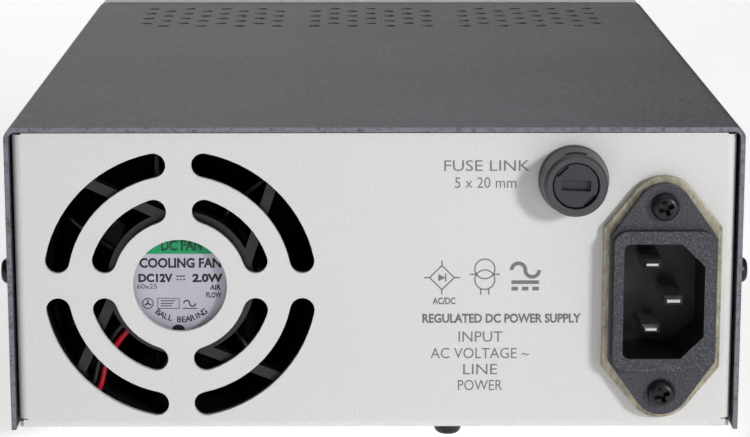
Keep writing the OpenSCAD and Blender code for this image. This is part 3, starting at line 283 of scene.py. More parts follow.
# %% [markdown]
# ## Moulded plastic and rubber
# A mould's spark-eroded face leaves a fine matt texture on plastic. The same sum serves every
# plastic: a colour that wanders a little, a roughness, and a grain with its own depth.

# %% Moulded plastic
def moulded(name, colour, roughness, grain=0.25 * MM, depth=0.02 * MM, wander=0.12):
    plastic = Finish(name)
    texture = plastic.grain(grain, 3)
    clouds = plastic.grain(9 * MM, 2)
    darker = tuple(c * (1 - wander) for c in colour[:3]) + (1,)
    lighter = tuple(min(1, c * (1 + wander)) for c in colour[:3]) + (1,)
    plastic.feed({
        "Base Color": plastic.mix(texture * 0.6 + clouds * 0.4, darker, lighter),
        "Roughness": texture * 0.16 + clouds * 0.08 + (roughness - 0.12),
        "Normal": plastic.relief(texture, depth, 0.7),
    })
    return plastic.material


# %% [markdown]
# ## Metal
# Rolled steel keeps the direction of its rolls, plating clouds it, and handling leaves it unevenly
# bright. A grain stretched along one axis gives the rolling marks.

# %% Plated metal
def plated(name, dark, light, roughness, stretch=(1, 1, 0.1), grain=0.4 * MM, metallic=0.95):
    metal = Finish(name, Metallic=metallic)
    rolls = metal.grain(grain, 4, stretch)
    clouds = metal.grain(5 * MM, 4)
    metal.feed({
        "Base Color": metal.mix(metal.steps(rolls * 0.5 + clouds * 0.5, 0.3, 0.7), dark, light),
        "Roughness": clouds * 0.2 + rolls * 0.12 + (roughness - 0.16),
        "Normal": metal.relief(rolls, 0.008 * MM, 0.5),
    })
    return metal.material


# %% [markdown]
# ## A list of finishes
# The parts share about thirty materials, such as nickel, brass, rubber and black plastic. Each is one
# line here, under the name that the CAD model gives to the material of its parts.

# %% The finishes of the parts
finishes = {
    "panel_paint": panel_paint,
    "cover_paint": cover_paint,
    "black_screw": plated("black_screw", srgb(22, 22, 24), srgb(48, 48, 52), 0.38, metallic=0.6),
    "rubber": moulded("rubber", srgb(38, 38, 39), 0.8, 0.6 * MM, 0.04 * MM),
    "zinc_steel": plated("zinc_steel", srgb(150, 153, 160), srgb(205, 208, 214), 0.34),
    "bezel_plastic": moulded("bezel_plastic", srgb(208, 208, 206), 0.46, 0.35 * MM, 0.02 * MM, 0.03),
    "fascia_sheet": moulded("fascia_sheet", srgb(60, 61, 66), 0.5, 0.3 * MM, 0.01 * MM, 0.08),
    "display_body": moulded("display_body", srgb(52, 52, 54), 0.5),
    "nickel": plated("nickel", srgb(178, 178, 176), srgb(224, 224, 222), 0.22),
    "knob_plastic": moulded("knob_plastic", srgb(42, 42, 45), 0.42),
    "button_plastic": moulded("button_plastic", srgb(186, 188, 190), 0.4, wander=0.04),
    "black_plastic": moulded("black_plastic", srgb(34, 34, 36), 0.42),
    "rocker_plastic": moulded("rocker_plastic", srgb(30, 30, 31), 0.3),
    "red_plastic": moulded("red_plastic", srgb(176, 26, 30), 0.32, wander=0.06),
    "green_plastic": moulded("green_plastic", srgb(24, 120, 58), 0.32, wander=0.06),
    "post_black": moulded("post_black", srgb(30, 30, 32), 0.32),
    "brass": plated("brass", srgb(176, 142, 70), srgb(226, 196, 120), 0.26),
    "fuse_plastic": moulded("fuse_plastic", srgb(62, 61, 65), 0.36, 0.3 * MM, 0.02 * MM),
    "fuse_cap_plastic": moulded("fuse_cap_plastic", srgb(44, 43, 54), 0.36, 0.25 * MM, 0.03 * MM),
    "fan_plastic": moulded("fan_plastic", srgb(22, 22, 26), 0.34, 0.3 * MM, 0.01 * MM),
    # rotor_plastic is a darker copy of fan_plastic: painted shade for the blades deep inside the fan.
    "rotor_plastic": moulded("rotor_plastic", srgb(9, 9, 11), 0.3, 0.3 * MM, 0.005 * MM),
    "red_wire": moulded("red_wire", srgb(190, 22, 40), 0.35, 0.5 * MM, 0.01 * MM, 0.05),
    "black_wire": moulded("black_wire", srgb(24, 24, 25), 0.35, 0.5 * MM, 0.01 * MM),
    "brown_wire": moulded("brown_wire", srgb(98, 58, 36), 0.4, 0.5 * MM, 0.01 * MM),
    "nylon": moulded("nylon", srgb(222, 220, 208), 0.45, wander=0.03),
    "ferrite": moulded("ferrite", srgb(58, 56, 54), 0.6, 0.4 * MM, 0.03 * MM),
    "capacitor_sleeve": moulded("capacitor_sleeve", srgb(36, 38, 62), 0.3),
    "copper_winding": plated("copper_winding", srgb(150, 84, 44), srgb(214, 140, 86), 0.32, (0.15, 1, 1)),
    "heatsink_aluminium": plated("heatsink_aluminium", srgb(176, 178, 182), srgb(214, 216, 220), 0.42),
    "epoxy": moulded("epoxy", srgb(28, 28, 29), 0.5),
    "ribbon": moulded("ribbon", srgb(176, 178, 182), 0.5, wander=0.05),
    "khaki_steel": plated("khaki_steel", srgb(104, 99, 82), srgb(196, 189, 170), 0.42, (1, 1, 0.35),
                          0.5 * MM, 0.7),
}
print("finishes:", len(finishes))

# %% [markdown]
# ## The inlet's plastic
# Sparks leave this moulding with a coarse grain that sparkles as small pale points. The socket's inside
# is painted near black, as painted shade for the deep socket. Three comparisons tell the
# outside from the inside: nearer than the rim, beside the socket, or above or below it. The low wall
# between the flange and the rim is painted darker, as painted shade at its foot.

# %% Sparkling plastic with painted shade in its socket
def inlet_plastic():
    plastic = Finish("inlet_plastic", Specular_IOR_Level=0.5)
    grain = plastic.grain(0.34 * MM, 3)
    points = plastic.steps(grain, 0.5, 0.66)
    ahead = plastic.axis("Y", rim_y - 1.0 * MM) > 0
    beside = abs(plastic.axis("X", inlet.x)) > socket_half[0]
    above = abs(plastic.axis("Z", inlet.z)) > socket_half[1]
    outside = (ahead + beside + above) > 0.5
    shell = plastic.mix(points, srgb(44, 43, 50), srgb(92, 91, 102))
    # Painted shade: the rim's low wall is darkened at its foot.
    painted_wall_shade = (plastic.axis("Y", rim_y - 0.4 * MM) < 0) * (plastic.axis("Y", rim_y - 1.5 * MM) > 0)
    shell = plastic.mix(painted_wall_shade * 0.8, shell, srgb(20, 19, 24))
    plastic.feed({
        # Painted shade: the socket's inside takes a near-black colour.
        "Base Color": plastic.mix(outside, srgb(13, 12, 16), shell),
        "Roughness": grain * 0.25 + 0.3,
        "Normal": plastic.relief(grain, 0.06 * MM, 0.8),
    })
    return plastic.material


rim_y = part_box("inlet_body")[1].y
socket_half = (8.5 * MM, 12.4 * MM)
finishes["inlet_plastic"] = inlet_plastic()
print("inlet plastic: dark inside a socket of", [round(2 * h / MM, 1) for h in socket_half], "mm")

# %% [markdown]
# ## Circuit board
# Solder mask is a green lacquer over copper. The copper under it shows as paler tracks, and a grid of
# cells with thin walls is a quick way to draw them.

# %% Board with tracks
def board_lacquer():
    board = Finish("circuit_board", Roughness=0.34)
    cells = board.node("ShaderNodeTexVoronoi", {"distance": "CHEBYCHEV", "feature": "F1"},
                       {"Vector": board.place(), "Scale": 1 / (4 * MM)})
    tracks = abs(cells - 0.5) < 0.06
    grain = board.grain(0.8 * MM)
    board.feed({
        "Base Color": board.mix(tracks * 0.7, srgb(18, 74, 42), srgb(58, 128, 76)),
        "Roughness": grain * 0.15 + 0.28,
        "Normal": board.relief(tracks, 0.03 * MM, 0.8),
    })
    return board.material


finishes["circuit_board"] = board_lacquer()

# %% [markdown]
# ## Window and lamps
# The display sits behind dark red acrylic, so that only lit segments show. Clear plastic is a shader
# with full transmission, and its colour is the tint of one face.

# %% Clear and lit plastics
def acrylic():
    sheet = Finish("window_acrylic", Transmission_Weight=1.0, IOR=1.49)
    smears = sheet.grain(14 * MM, 3)
    sheet.feed({
        "Base Color": sheet.mix(smears, srgb(96, 22, 24), srgb(112, 30, 32)),
        "Roughness": smears * 0.05 + 0.01,
    })
    return sheet.material


def lit(name, colour, strength):
    glow = Finish(name, Roughness=0.35, Emission_Strength=strength)
    grain = glow.grain(0.6 * MM)
    dim = tuple(c * 0.8 for c in colour[:3]) + (1,)
    shade = glow.mix(grain, dim, colour)
    glow.feed({"Base Color": shade, "Emission Color": shade})
    return glow.material


finishes["window_acrylic"] = acrylic()
finishes["led_lens"] = lit("led_lens", srgb(70, 220, 90), 0.9)
digit_glow = lit("digit_glow", srgb(255, 52, 36), 9.0)
print("lit finishes:", digit_glow.name)

# %% [markdown]
# ## Fan label
# The label is a foil disc with a green band across its top and a brushed silver field. Its print
# comes later as thin letters. Where a pattern has a plain edge, a comparison makes a mask of 0 or 1,
# and the mask picks the colour.

# %% Foil with a green band
def label_foil():
    foil = Finish("label_foil", Metallic=0.35)
    height = foil.axis("Z", fan.z)
    band = height > 6.3 * MM
    sparkle = foil.grain(0.18 * MM, 2)
    clouds = foil.grain(4 * MM, 2)
    silver = foil.mix(sparkle * 0.7 + clouds * 0.3, srgb(160, 160, 172), srgb(208, 208, 220))
    foil.feed({
        "Base Color": foil.mix(band, silver, srgb(28, 150, 96)),
        "Roughness": sparkle * 0.2 + 0.38,
        "Normal": foil.relief(sparkle, 0.01 * MM, 0.5),
    })
    return foil.material


finishes["label_foil"] = label_foil()

# %% [markdown]
# ## Floor
# A sheet of white paper is never one grey. A faint fibre in its colour keeps it real, and a little
# light of its own keeps it as pale as a lit background.

# %% Pale paper
def white_paper():
    paper = Finish("white_paper", Emission_Strength=0.52, Specular_IOR_Level=0.2)
    fibre = paper.grain(3 * MM, 3)
    tone = paper.mix(fibre, srgb(246, 246, 246), srgb(252, 252, 252))
    paper.feed({"Base Color": tone, "Emission Color": tone, "Roughness": fibre * 0.2 + 0.7})
    return paper.material


floor.data.materials.append(white_paper())

# %% [markdown]
# ## Finishes on the parts
# The CAD record says what each part is made of, so a loop can give every part its finish.

# %% Give every CAD part its finish
slot_of = {row["node"]: row["material_slot"] for row in frame["record"]["subparts"]}
for name, part in CAD.items():
    part.data.materials.clear()
    part.data.materials.append(finishes[slot_of[name]])
print("finished parts:", len(slot_of))

# %% [markdown]
# ## Eased edges
# Nothing real has a perfectly sharp edge, and the thin bright line along an edge is what makes paint
# and plastic look solid. The CAD meshes have split corners and many triangles, so each gets four
# modifiers: one welds the corners, one melts the triangles of a flat face together, one rounds the
# sharp edges, and one keeps the flat faces flat to the light.

# %% Ease the edges of the CAD parts
def ease(part, width):
    """Rounds every edge that turns by more than 32 degrees."""
    weld = part.modifiers.new("weld", "WELD")
    weld.merge_threshold = 0.004 * MM
    flat = part.modifiers.new("flat_faces", "DECIMATE")
    flat.decimate_type, flat.angle_limit = "DISSOLVE", math.radians(0.6)
    round_edges = part.modifiers.new("round_edges", "BEVEL")
    round_edges.width, round_edges.segments = width, 2
    round_edges.limit_method, round_edges.angle_limit = "ANGLE", math.radians(32)
    round_edges.miter_outer = "MITER_ARC"
    part.modifiers.new("true_shading", "WEIGHTED_NORMAL").keep_sharp = False


eased = {
    "chassis_tray": 0.14, "top_cover": 0.16, "front_bezel": 0.35, "fascia": 0.12, "feet": 0.5,
    "display_window": 0.1, "inlet_filter": 0.22, "inlet_body": 0.4,
    "fuse_holder": 0.18, "fuse_cap": 0.14, "fan_bracket": 0.1, "fan_label": 0.05,
    "output_button": 0.4, "power_switch": 0.3, "power_rocker": 0.35, "voltage_knob": 0.25,
    "current_knob": 0.25, "led_displays": 0.2, "post_nuts": 0.2, "transformer": 0.4, "heatsinks": 0.1,
    "transistors": 0.3, "encoders": 0.1, "main_board": 0.05, "front_board": 0.05,
}
for colour in ("red", "green", "black"):
    eased.update({f"{colour}_post_base": 0.35, f"{colour}_post_cap": 0.2, f"{colour}_cap_insert": 0.15,
                  f"{colour}_post_stud": 0.2})
for name, width in eased.items():
    ease(CAD[name], width * MM)
for name in ("fan_lead_red", "fan_lead_black", "output_leads", "mains_leads"):
    weld = CAD[name].modifiers.new("weld", "WELD")
    weld.merge_threshold = 0.004 * MM
    CAD[name].modifiers.new("round_wire", "SUBSURF").render_levels = 2
print("eased parts:", len(eased))

# %% [markdown]
# ## Tools for new pieces
# A few helpers make the pieces that follow: one turns a profile on a lathe, one cuts one mesh out of
# another, and one sets a finished mesh on its body and hides the CAD parts it stands for.

# %% Helpers for new pieces
def lathe(profile, segments=64):
    """A mesh turned about Z from (radius, height) points."""
    made = bmesh.new()
    rings = []
    for radius, height in profile:
        count = 1 if radius < 1e-7 else segments
        turns = [math.tau * k / segments for k in range(count)]
        rings.append([made.verts.new((radius * math.cos(a), radius * math.sin(a), height)) for a in turns])
    for low, high in zip(rings, rings[1:]):
        for k in range(segments):
            j = (k + 1) % segments
            loop = [low[k % len(low)], low[j % len(low)], high[j % len(high)], high[k % len(high)]]
            corners = list(dict.fromkeys(loop))
            if len(corners) > 2:
                made.faces.new(corners)
    bmesh.ops.recalc_face_normals(made, faces=made.faces)
    return made


def as_mesh(name, made):
    mesh = bpy.data.meshes.new(name)
    made.to_mesh(mesh)
    made.free()
    return mesh


def carved(name, body, cutter):
    """The first mesh with the second cut out of it."""
    pair = [bpy.data.objects.new(name, body), bpy.data.objects.new(name + "_cutter", cutter)]
    for item in pair:
        scene.collection.objects.link(item)
    cut = pair[0].modifiers.new("cut", "BOOLEAN")
    cut.object, cut.solver = pair[1], "EXACT"
    mesh = bpy.data.meshes.new_from_object(pair[0].evaluated_get(bpy.context.evaluated_depsgraph_get()))
    for item in pair:
        bpy.data.objects.remove(item)
    mesh.name = name
    return mesh


def set_piece(name, mesh, finish, body="case", stands_for=()):
    """A finished mesh, set on the CAD body that it moves with."""
    mesh.materials.clear()
    mesh.materials.append(finish)
    made = bpy.data.objects.new(name, mesh)
    scene.collection.objects.link(made)
    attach(made, body)
    if stands_for:
        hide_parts(*stands_for)
    return made


def joined(name, copies):
    """One mesh from (mesh, matrix) pairs."""
    made = bmesh.new()
    for mesh, matrix in copies:
        moved = mesh.copy()
        moved.transform(matrix)
        made.from_mesh(moved)
        bpy.data.meshes.remove(moved)
    return as_mesh(name, made)


def smooth(mesh, angle):
    """Shades a mesh smooth, apart from edges sharper than an angle."""
    mesh.shade_smooth()
    mesh.set_sharp_from_angle(angle=math.radians(angle))
    return mesh


TO_REAR = Matrix(((-1, 0, 0), (0, 0, 1), (0, 1, 0))).to_4x4()
TO_FRONT = Matrix(((1, 0, 0), (0, 0, -1), (0, 1, 0))).to_4x4()


def at(place, turn=None):
    """A matrix that turns a mesh and then moves it to a place."""
    return Matrix.Translation(place) @ (turn or Matrix())


# %% [markdown]
# ## Screws
# A pan head is turned, and its cross recess is punched. The recess has tapered wings, so the cutter
# is two crossed wedges. One head is made once and copied to every place that the CAD model has one.

# %% Pan-head screws
def wedge(length, width, top, depth):
    """A tapered bar that points down from a height."""
    made = bmesh.new()
    rows = []
    for height, share in ((top + 0.3 * MM, 1.1), (top - depth, 0.45)):
        half_l, half_w = length / 2 * share, width / 2 * (0.6 + 0.4 * share)
        rows.append([made.verts.new((x * half_l, y * half_w, height))
                     for x, y in ((-1, -1), (1, -1), (1, 1), (-1, 1))])
    top_row, low_row = rows
    made.faces.new(top_row)
    made.faces.new(low_row[::-1])
    for k in range(4):
        j = (k + 1) % 4
        made.faces.new((top_row[j], top_row[k], low_row[k], low_row[j]))
    bmesh.ops.recalc_face_normals(made, faces=made.faces)
    return made


def pan_screw(name, head_r, head_h, shank_l, shank_r=1.45 * MM):
    """A screw whose head starts at Z 0, with its shank below."""
    rise = [math.radians(t) for t in range(0, 86, 8)]
    dome = [(head_r * math.cos(t) ** 0.42, head_h * (0.16 + 0.84 * math.sin(t))) for t in rise]
    profile = [(0, -shank_l), (shank_r, -shank_l), (shank_r, 0),
               (head_r * 0.94, 0), (head_r, head_h * 0.08)]
    mesh = as_mesh(name, lathe(profile + dome + [(0, head_h)], 48))
    for turn in (20, 110):
        cutter = as_mesh(name + "_wing", wedge(head_r * 1.15, head_r * 0.32, head_h, head_h * 0.75))
        cutter.transform(Matrix.Rotation(math.radians(turn), 4, "Z"))
        mesh = carved(name, mesh, cutter)
    return smooth(mesh, 30)


M3_HEAD_R, M3_HEAD_H = 2.8 * MM, 2.1 * MM
cover_screw = pan_screw("cover_screw", M3_HEAD_R, M3_HEAD_H, 4 * MM)
low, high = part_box("cover_screws")
spots = []
for side in (-1, 1):
    turn = Matrix.Rotation(math.radians(90 * side), 4, "Y")
    for y in (low.y + M3_HEAD_R, high.y - M3_HEAD_R):
        x = high.x - M3_HEAD_H if side > 0 else low.x + M3_HEAD_H
        spots.append((cover_screw, at((x, y, (low.z + high.z) / 2), turn)))
set_piece("cover_screw_set", joined("cover_screw_set", spots), finishes["black_screw"],
          stands_for=["cover_screws"])

INLET_HEAD_R, INLET_HEAD_H = 2.95 * MM, 2.3 * MM
INLET_PITCH = 40 * MM
EARTH_INSET = 5 * MM
low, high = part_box("inlet_screws")
inlet_screw = pan_screw("inlet_screw", INLET_HEAD_R, INLET_HEAD_H, 6 * MM)
spots = [(inlet_screw, at((inlet.x, high.y - INLET_HEAD_H, inlet.z + side * INLET_PITCH / 2), TO_REAR))
         for side in (-1, 1)]
earth_spot = (high.x - INLET_HEAD_R, panel_y - EARTH_INSET, low.z + INLET_HEAD_H)
spots.append((inlet_screw, at(earth_spot, Matrix.Rotation(math.pi, 4, "X"))))
set_piece("inlet_screw_set", joined("inlet_screw_set", spots), finishes["black_screw"],
          stands_for=["inlet_screws"])
print("screws: 4 on the cover, 2 on the inlet, 1 for its earth lead")

# %% [markdown]
# ## Fan rotor
# A fan blade is a curved and twisted sheet, thicker than paper and thinner than the hub's wall. Each
# blade is a grid that sweeps round the hub as it goes from front to rear, and leans forward towards
# its tip. A Solidify modifier gives it its thickness.

# %% Rotor with swept blades
ROTOR_BLADES = 7
rotor_low, rotor_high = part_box("fan_rotor")
hub_r = 15.2 * MM
tip_r = (rotor_high.x - rotor_low.x) / 2 - 0.1 * MM
blade_front, blade_rear = rotor_low.y + 0.7 * MM, fan_rear - 6.8 * MM


def blade_sheet(turn, rows=8, columns=14):
    """One blade, as a grid from the hub to the tip and from front to rear."""
    made = bmesh.new()
    grid = []
    for i in range(rows):
        out = i / (rows - 1)
        radius = hub_r - 0.6 * MM + (tip_r - hub_r + 0.6 * MM) * out
        line = []
        for j in range(columns):
            along = j / (columns - 1)
            sweep = 44 * (along - 0.5) * (1 - 0.12 * out)
            swing = math.radians(sweep + 7 * math.sin(math.pi * along) + 9 * out)
            trim = 1.6 * MM * out * (2 * along - 1)
            y = blade_front + (blade_rear - blade_front) * along - trim * 0.5
            a = turn + swing
            line.append(made.verts.new((fan.x + radius * math.cos(a), y, fan.z + radius * math.sin(a))))
        grid.append(line)
    for i in range(rows - 1):
        for j in range(columns - 1):
            made.faces.new((grid[i][j], grid[i + 1][j], grid[i + 1][j + 1], grid[i][j + 1]))
    return as_mesh("blade", made)


blades = joined("fan_blades", [(blade_sheet(math.tau * k / ROTOR_BLADES), Matrix())
                               for k in range(ROTOR_BLADES)])
# The blades take rotor_plastic, painted shade darker than the hub's fan_plastic.
blade_set = set_piece("fan_blades", smooth(blades, 60), finishes["rotor_plastic"],
                      "fan_rotor")
thick = blade_set.modifiers.new("thickness", "SOLIDIFY")
thick.thickness, thick.offset = 1.1 * MM, 0
depth = rotor_high.y - rotor_low.y
hub_depth = 18 * MM
hub_profile = [(0, 0), (hub_r - 1.2 * MM, 0), (hub_r - 0.35 * MM, 0.35 * MM), (hub_r, 1.2 * MM),
               (hub_r, hub_depth), (hub_r - 1.6 * MM, hub_depth), (hub_r - 1.8 * MM, 1.6 * MM),
               (1.5 * MM, 1.6 * MM), (1.5 * MM, depth), (0, depth)]
hub = as_mesh("fan_hub", lathe(hub_profile, 72))
hub.transform(at((fan.x, rotor_low.y, fan.z), TO_REAR))
set_piece("fan_hub", smooth(hub, 30), finishes["fan_plastic"], "fan_rotor", ["fan_rotor"])
print("rotor:", ROTOR_BLADES, "blades, tip radius", round(tip_r / MM, 1), "mm")

# %% [markdown]
# ## Print
# Screen print is ink a few hundredths of a millimetre thick. Blender's text objects give its letters,
# and the words here only say what each thing is. Each line is scaled to a cap height and, where it
# matters, to a width, and then laid on its face.

# %% Letters as thin meshes
def letters(text, cap, width=None, weight=0.0):
    """A line of text as a mesh, centred on X, with its baseline on Y 0."""
    curve = bpy.data.curves.new("letters", "FONT")
    curve.body, curve.align_x, curve.offset = text, "CENTER", weight
    curve.resolution_u = 3
    holder = bpy.data.objects.new("letters", curve)
    scene.collection.objects.link(holder)
    mesh = bpy.data.meshes.new_from_object(holder.evaluated_get(bpy.context.evaluated_depsgraph_get()))
    bpy.data.objects.remove(holder)
    span = max(v.co.x for v in mesh.vertices) - min(v.co.x for v in mesh.vertices)
    tall = cap / CAP_OF_FONT
    mesh.transform(Matrix.Diagonal((width / span if width else tall, tall, 1, 1)))
    return mesh


CAP_OF_FONT = 1.0
CAP_OF_FONT = max(v.co.y for v in letters("H", 1.0).vertices)


def sheet_outline(points):
    """A flat face from points in the plane of the print."""
    made = bmesh.new()
    made.faces.new([made.verts.new((x, y, 0)) for x, y in points])
    bmesh.ops.triangulate(made, faces=made.faces)
    return as_mesh("print", made)


def ring(radius, line, start=0, end=360, steps=48):
    """A printed arc of a line's width."""
    angles = [math.radians(start + (end - start) * k / steps) for k in range(steps + 1)]
    outer = [((radius + line / 2) * math.cos(a), (radius + line / 2) * math.sin(a)) for a in angles]
    inner = [((radius - line / 2) * math.cos(a), (radius - line / 2) * math.sin(a)) for a in angles]
    made = bmesh.new()
    pairs = [(made.verts.new((*o, 0)), made.verts.new((*i, 0))) for o, i in zip(outer, inner)]
    for (a, b), (c, d) in zip(pairs, pairs[1:]):
        made.faces.new((a, c, d, b))
    bmesh.ops.remove_doubles(made, verts=made.verts, dist=1e-7)
    return as_mesh("print", made)


def stroke(start, end, line):
    """A printed straight line."""
    start, end = Vector(start), Vector(end)
    side = (end - start).normalized().orthogonal() * line / 2
    return sheet_outline([start - side, end - side, end + side, start + side])


def printed(name, items, origin, turn, finish, body="case", lift=0.02 * MM):
    """Meshes drawn in a plane, laid on a face as one thin film. Items are (mesh, x, y)."""
    flat = joined(name, [(mesh, Matrix.Translation((x, y, 0))) for mesh, x, y in items])
    made = bmesh.new()
    made.from_mesh(flat)
    film = bmesh.ops.extrude_face_region(made, geom=made.faces[:])
    raised = [v for v in film["geom"] if isinstance(v, bmesh.types.BMVert)]
    bmesh.ops.translate(made, vec=(0, 0, lift), verts=raised)
    bmesh.ops.recalc_face_normals(made, faces=made.faces)
    mesh = as_mesh(name, made)
    mesh.transform(at(origin, turn))
    return set_piece(name, mesh, finish, body)


# %% [markdown]
# ## Print on the rear panel
# The fuse is named beside its holder, and the inlet beside its socket. Three drawings stand between
# them: a rectifier bridge, a transformer, and the signs for alternating and direct current.

# %% Rear legends
ink = moulded("legend_ink", srgb(112, 113, 116), 0.5, 0.3 * MM, 0.004 * MM, 0.08)
CAP = 2.25 * MM
LINE = 0.28 * MM
rear_origin = (0, panel_y, 0)
column = 22.2 * MM


def rear_line(text, z, cap=CAP, width=None, x=column, weight=0.0):
    return letters(text, cap, width, weight), x, z


rear_words = [
    rear_line("FUSE LINK", 60.7 * MM, CAP, 17.8 * MM, 23.2 * MM),
    rear_line("5 x 20 mm", 57.1 * MM, CAP, 12.8 * MM, 23.1 * MM),
    rear_line("AC/DC", 32.2 * MM, 1.35 * MM, 4.8 * MM, 14.6 * MM, 0.03),
    rear_line("REGULATED DC POWER SUPPLY", 28.2 * MM, 1.8 * MM, 33.4 * MM, 26.6 * MM, 0.035),
    rear_line("INPUT", 24.0 * MM, CAP, 9.3 * MM),
    rear_line("AC VOLTAGE ~", 20.4 * MM, CAP, 20.8 * MM),
    rear_line("LINE", 16.9 * MM, CAP, 7.2 * MM),
    rear_line("POWER", 13.4 * MM, CAP, 9.4 * MM),
]
printed("rear_words", rear_words, rear_origin, TO_REAR, ink)


def bridge_symbol(x, z, half):
    """A rectifier bridge: a diamond with a diode in it and a lead from each corner."""
    tips = [(x, z + half), (x + half, z), (x, z - half), (x - half, z)]
    sides = [(stroke(tips[k], tips[k - 1], LINE), 0, 0) for k in range(4)]
    leads = [(stroke(tip, (x + (tip[0] - x) * 1.45, z + (tip[1] - z) * 1.4), LINE), 0, 0) for tip in tips]
    arm = half * 0.3
    arrow = sheet_outline([(x - arm, z - arm), (x + arm, z), (x - arm, z + arm)])
    bar = stroke((x + arm, z - half * 0.34), (x + arm, z + half * 0.34), LINE)
    diode = [(arrow, 0, 0), (bar, 0, 0)]
    return sides + leads + diode


def transformer_symbol(x, z, radius):
    """Two linked windings with their leads."""
    items = [(ring(radius, LINE), x, z + radius * 0.55), (ring(radius, LINE), x, z - radius * 0.55)]
    for side in (-1, 1):
        foot = x + side * radius * 0.4
        items.append((stroke((foot, z - radius * 1.45), (foot, z - radius * 2.1), LINE), 0, 0))
        items.append((stroke((x + side * radius * 0.9, z), (x + side * radius * 1.5, z), LINE), 0, 0))
    return items


def current_signs(x, z):
    """A wave for alternating current, over a bar and three dashes for direct current."""
    bold = 0.8 * MM
    wave = [(ring(1.45 * MM, bold, 0, 180), x - 1.45 * MM, z + 1.1 * MM),
            (ring(1.45 * MM, bold, 180, 360), x + 1.45 * MM, z + 1.1 * MM)]
    bar = [(stroke((x - 2.9 * MM, z - 1.5 * MM), (x + 2.9 * MM, z - 1.5 * MM), bold), 0, 0)]
    dashes = [(stroke((-0.7 * MM, 0), (0.7 * MM, 0), bold), x + k * 2.2 * MM, z - 2.9 * MM)
              for k in (-1, 0, 1)]
    return wave + bar + dashes


symbols = bridge_symbol(14.1 * MM, 37.9 * MM, 2.6 * MM)
symbols += transformer_symbol(23.1 * MM, 38.6 * MM, 2.1 * MM)
symbols += current_signs(31.6 * MM, 38.4 * MM)
printed("rear_symbols", symbols, rear_origin, TO_REAR, ink)
print("rear print:", len(rear_words), "lines and 3 drawings")

# %% [markdown]
# ## Print on the fan label
# The label says that the fan runs on direct current and how large it is. One line follows the rim, so
# its letters are set one at a time, each turned to its own angle.

# %% Fan label print
label_ink = moulded("label_ink", srgb(26, 26, 30), 0.45, 0.2 * MM, 0.002 * MM)
band_ink = moulded("band_ink", srgb(10, 74, 48), 0.45, 0.2 * MM, 0.002 * MM)
label_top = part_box("fan_label")[1].y
label_origin = (fan.x, label_top, fan.z)
label_words = [
    (letters("COOLING FAN", 1.9 * MM, 17.2 * MM, 0.035), 0, 3.4 * MM),
    (letters("DC12V", 1.6 * MM, 7.2 * MM, 0.045), -5.4 * MM, 0.3 * MM),
    (letters("2.0W", 1.6 * MM, 6.4 * MM, 0.045), 5.6 * MM, 0.3 * MM),
    (letters("60x25", 1.0 * MM, 4.2 * MM), -7.1 * MM, -1.2 * MM),
    (letters("AIR", 1.05 * MM, 2.3 * MM, 0.03), 7.3 * MM, -1.45 * MM),
    (letters("FLOW", 1.05 * MM, 3.2 * MM, 0.03), 6.9 * MM, -3.1 * MM),
    (stroke((-0.95 * MM, 1.5 * MM), (0.95 * MM, 1.5 * MM), 0.26 * MM), 0, 0),
]
for k in (-1, 0, 1):
    dash = stroke((-0.22 * MM, 0), (0.22 * MM, 0), 0.26 * MM)
    label_words.append((dash, k * 0.72 * MM, 0.75 * MM))
# A small fan in a ring, a box of three bars, and a wave
for k in range(3):
    turn = math.radians(90 + 120 * k)
    blade = stroke((0, 0), (0.8 * MM * math.cos(turn), 0.8 * MM * math.sin(turn)), 0.3 * MM)
    label_words.append((blade, -7.0 * MM, -4.4 * MM))
label_words.append((ring(1.1 * MM, 0.2 * MM), -7.0 * MM, -4.4 * MM))
frame_corners = [(-4.9 * MM, -5.5 * MM), (-0.4 * MM, -5.5 * MM),
                 (-0.4 * MM, -3.3 * MM), (-4.9 * MM, -3.3 * MM)]
for k in range(4):
    label_words.append((stroke(frame_corners[k], frame_corners[k - 1], 0.14 * MM), 0, 0))
for k in (1, 2, 3):
    bar_z = -5.5 * MM + k * 0.55 * MM
    label_words.append((stroke((-4.3 * MM, bar_z), ((-2.4 + 0.4 * k) * MM, bar_z), 0.2 * MM), 0, 0))
label_words += [
    (ring(0.62 * MM, 0.28 * MM, 0, 180, 16), 1.2 * MM, -4.4 * MM),
    (ring(0.62 * MM, 0.28 * MM, 180, 360, 16), 2.44 * MM, -4.4 * MM),
    (stroke((0.4 * MM, -5.5 * MM), (3.4 * MM, -5.5 * MM), 0.2 * MM), 0, 0),
]


def round_the_rim(text, radius, cap, pitch):
    """Letters set along the lower rim, each turned to its place."""
    items = []
    for k, letter in enumerate(text):
        if letter == " ":
            continue
        turn = (k - (len(text) - 1) / 2) * pitch
        mesh = letters(letter, cap, None, 0.02)
        mesh.transform(Matrix.Rotation(turn, 4, "Z") @ Matrix.Translation((0, -radius, 0)))
        items.append((mesh, 0, 0))
    return items


label_words += round_the_rim("BALL BEARING", 8.5 * MM, 1.2 * MM, math.radians(6.9))
printed("fan_label_print", label_words, label_origin, TO_REAR, label_ink)
printed("fan_label_band_print", [(letters("DC FAN", 2.1 * MM, 8.6 * MM, 0.04), 0.3 * MM, 7.1 * MM)],
        label_origin, TO_REAR, band_ink)
notch = lathe([(0, 0), (1.5 * MM, 0), (1.5 * MM, 0.02 * MM), (0, 0.02 * MM)], 32)
notch_mesh = as_mesh("fan_label_hole", notch)
notch_mesh.transform(at((fan.x + 0.65 * MM, label_top, fan.z - 10.5 * MM), TO_REAR))
set_piece("fan_label_hole", notch_mesh, finishes["fan_plastic"])
print("fan label print:", len(label_words), "items")

# %% [markdown]
# ## Inlet pins
# The three pins are drawn bar with a chamfered nose, so only a narrow flat at the tip faces the light.
# Each is a skin over a few rectangles along Y, and the flat tabs behind the filter are made the same way.

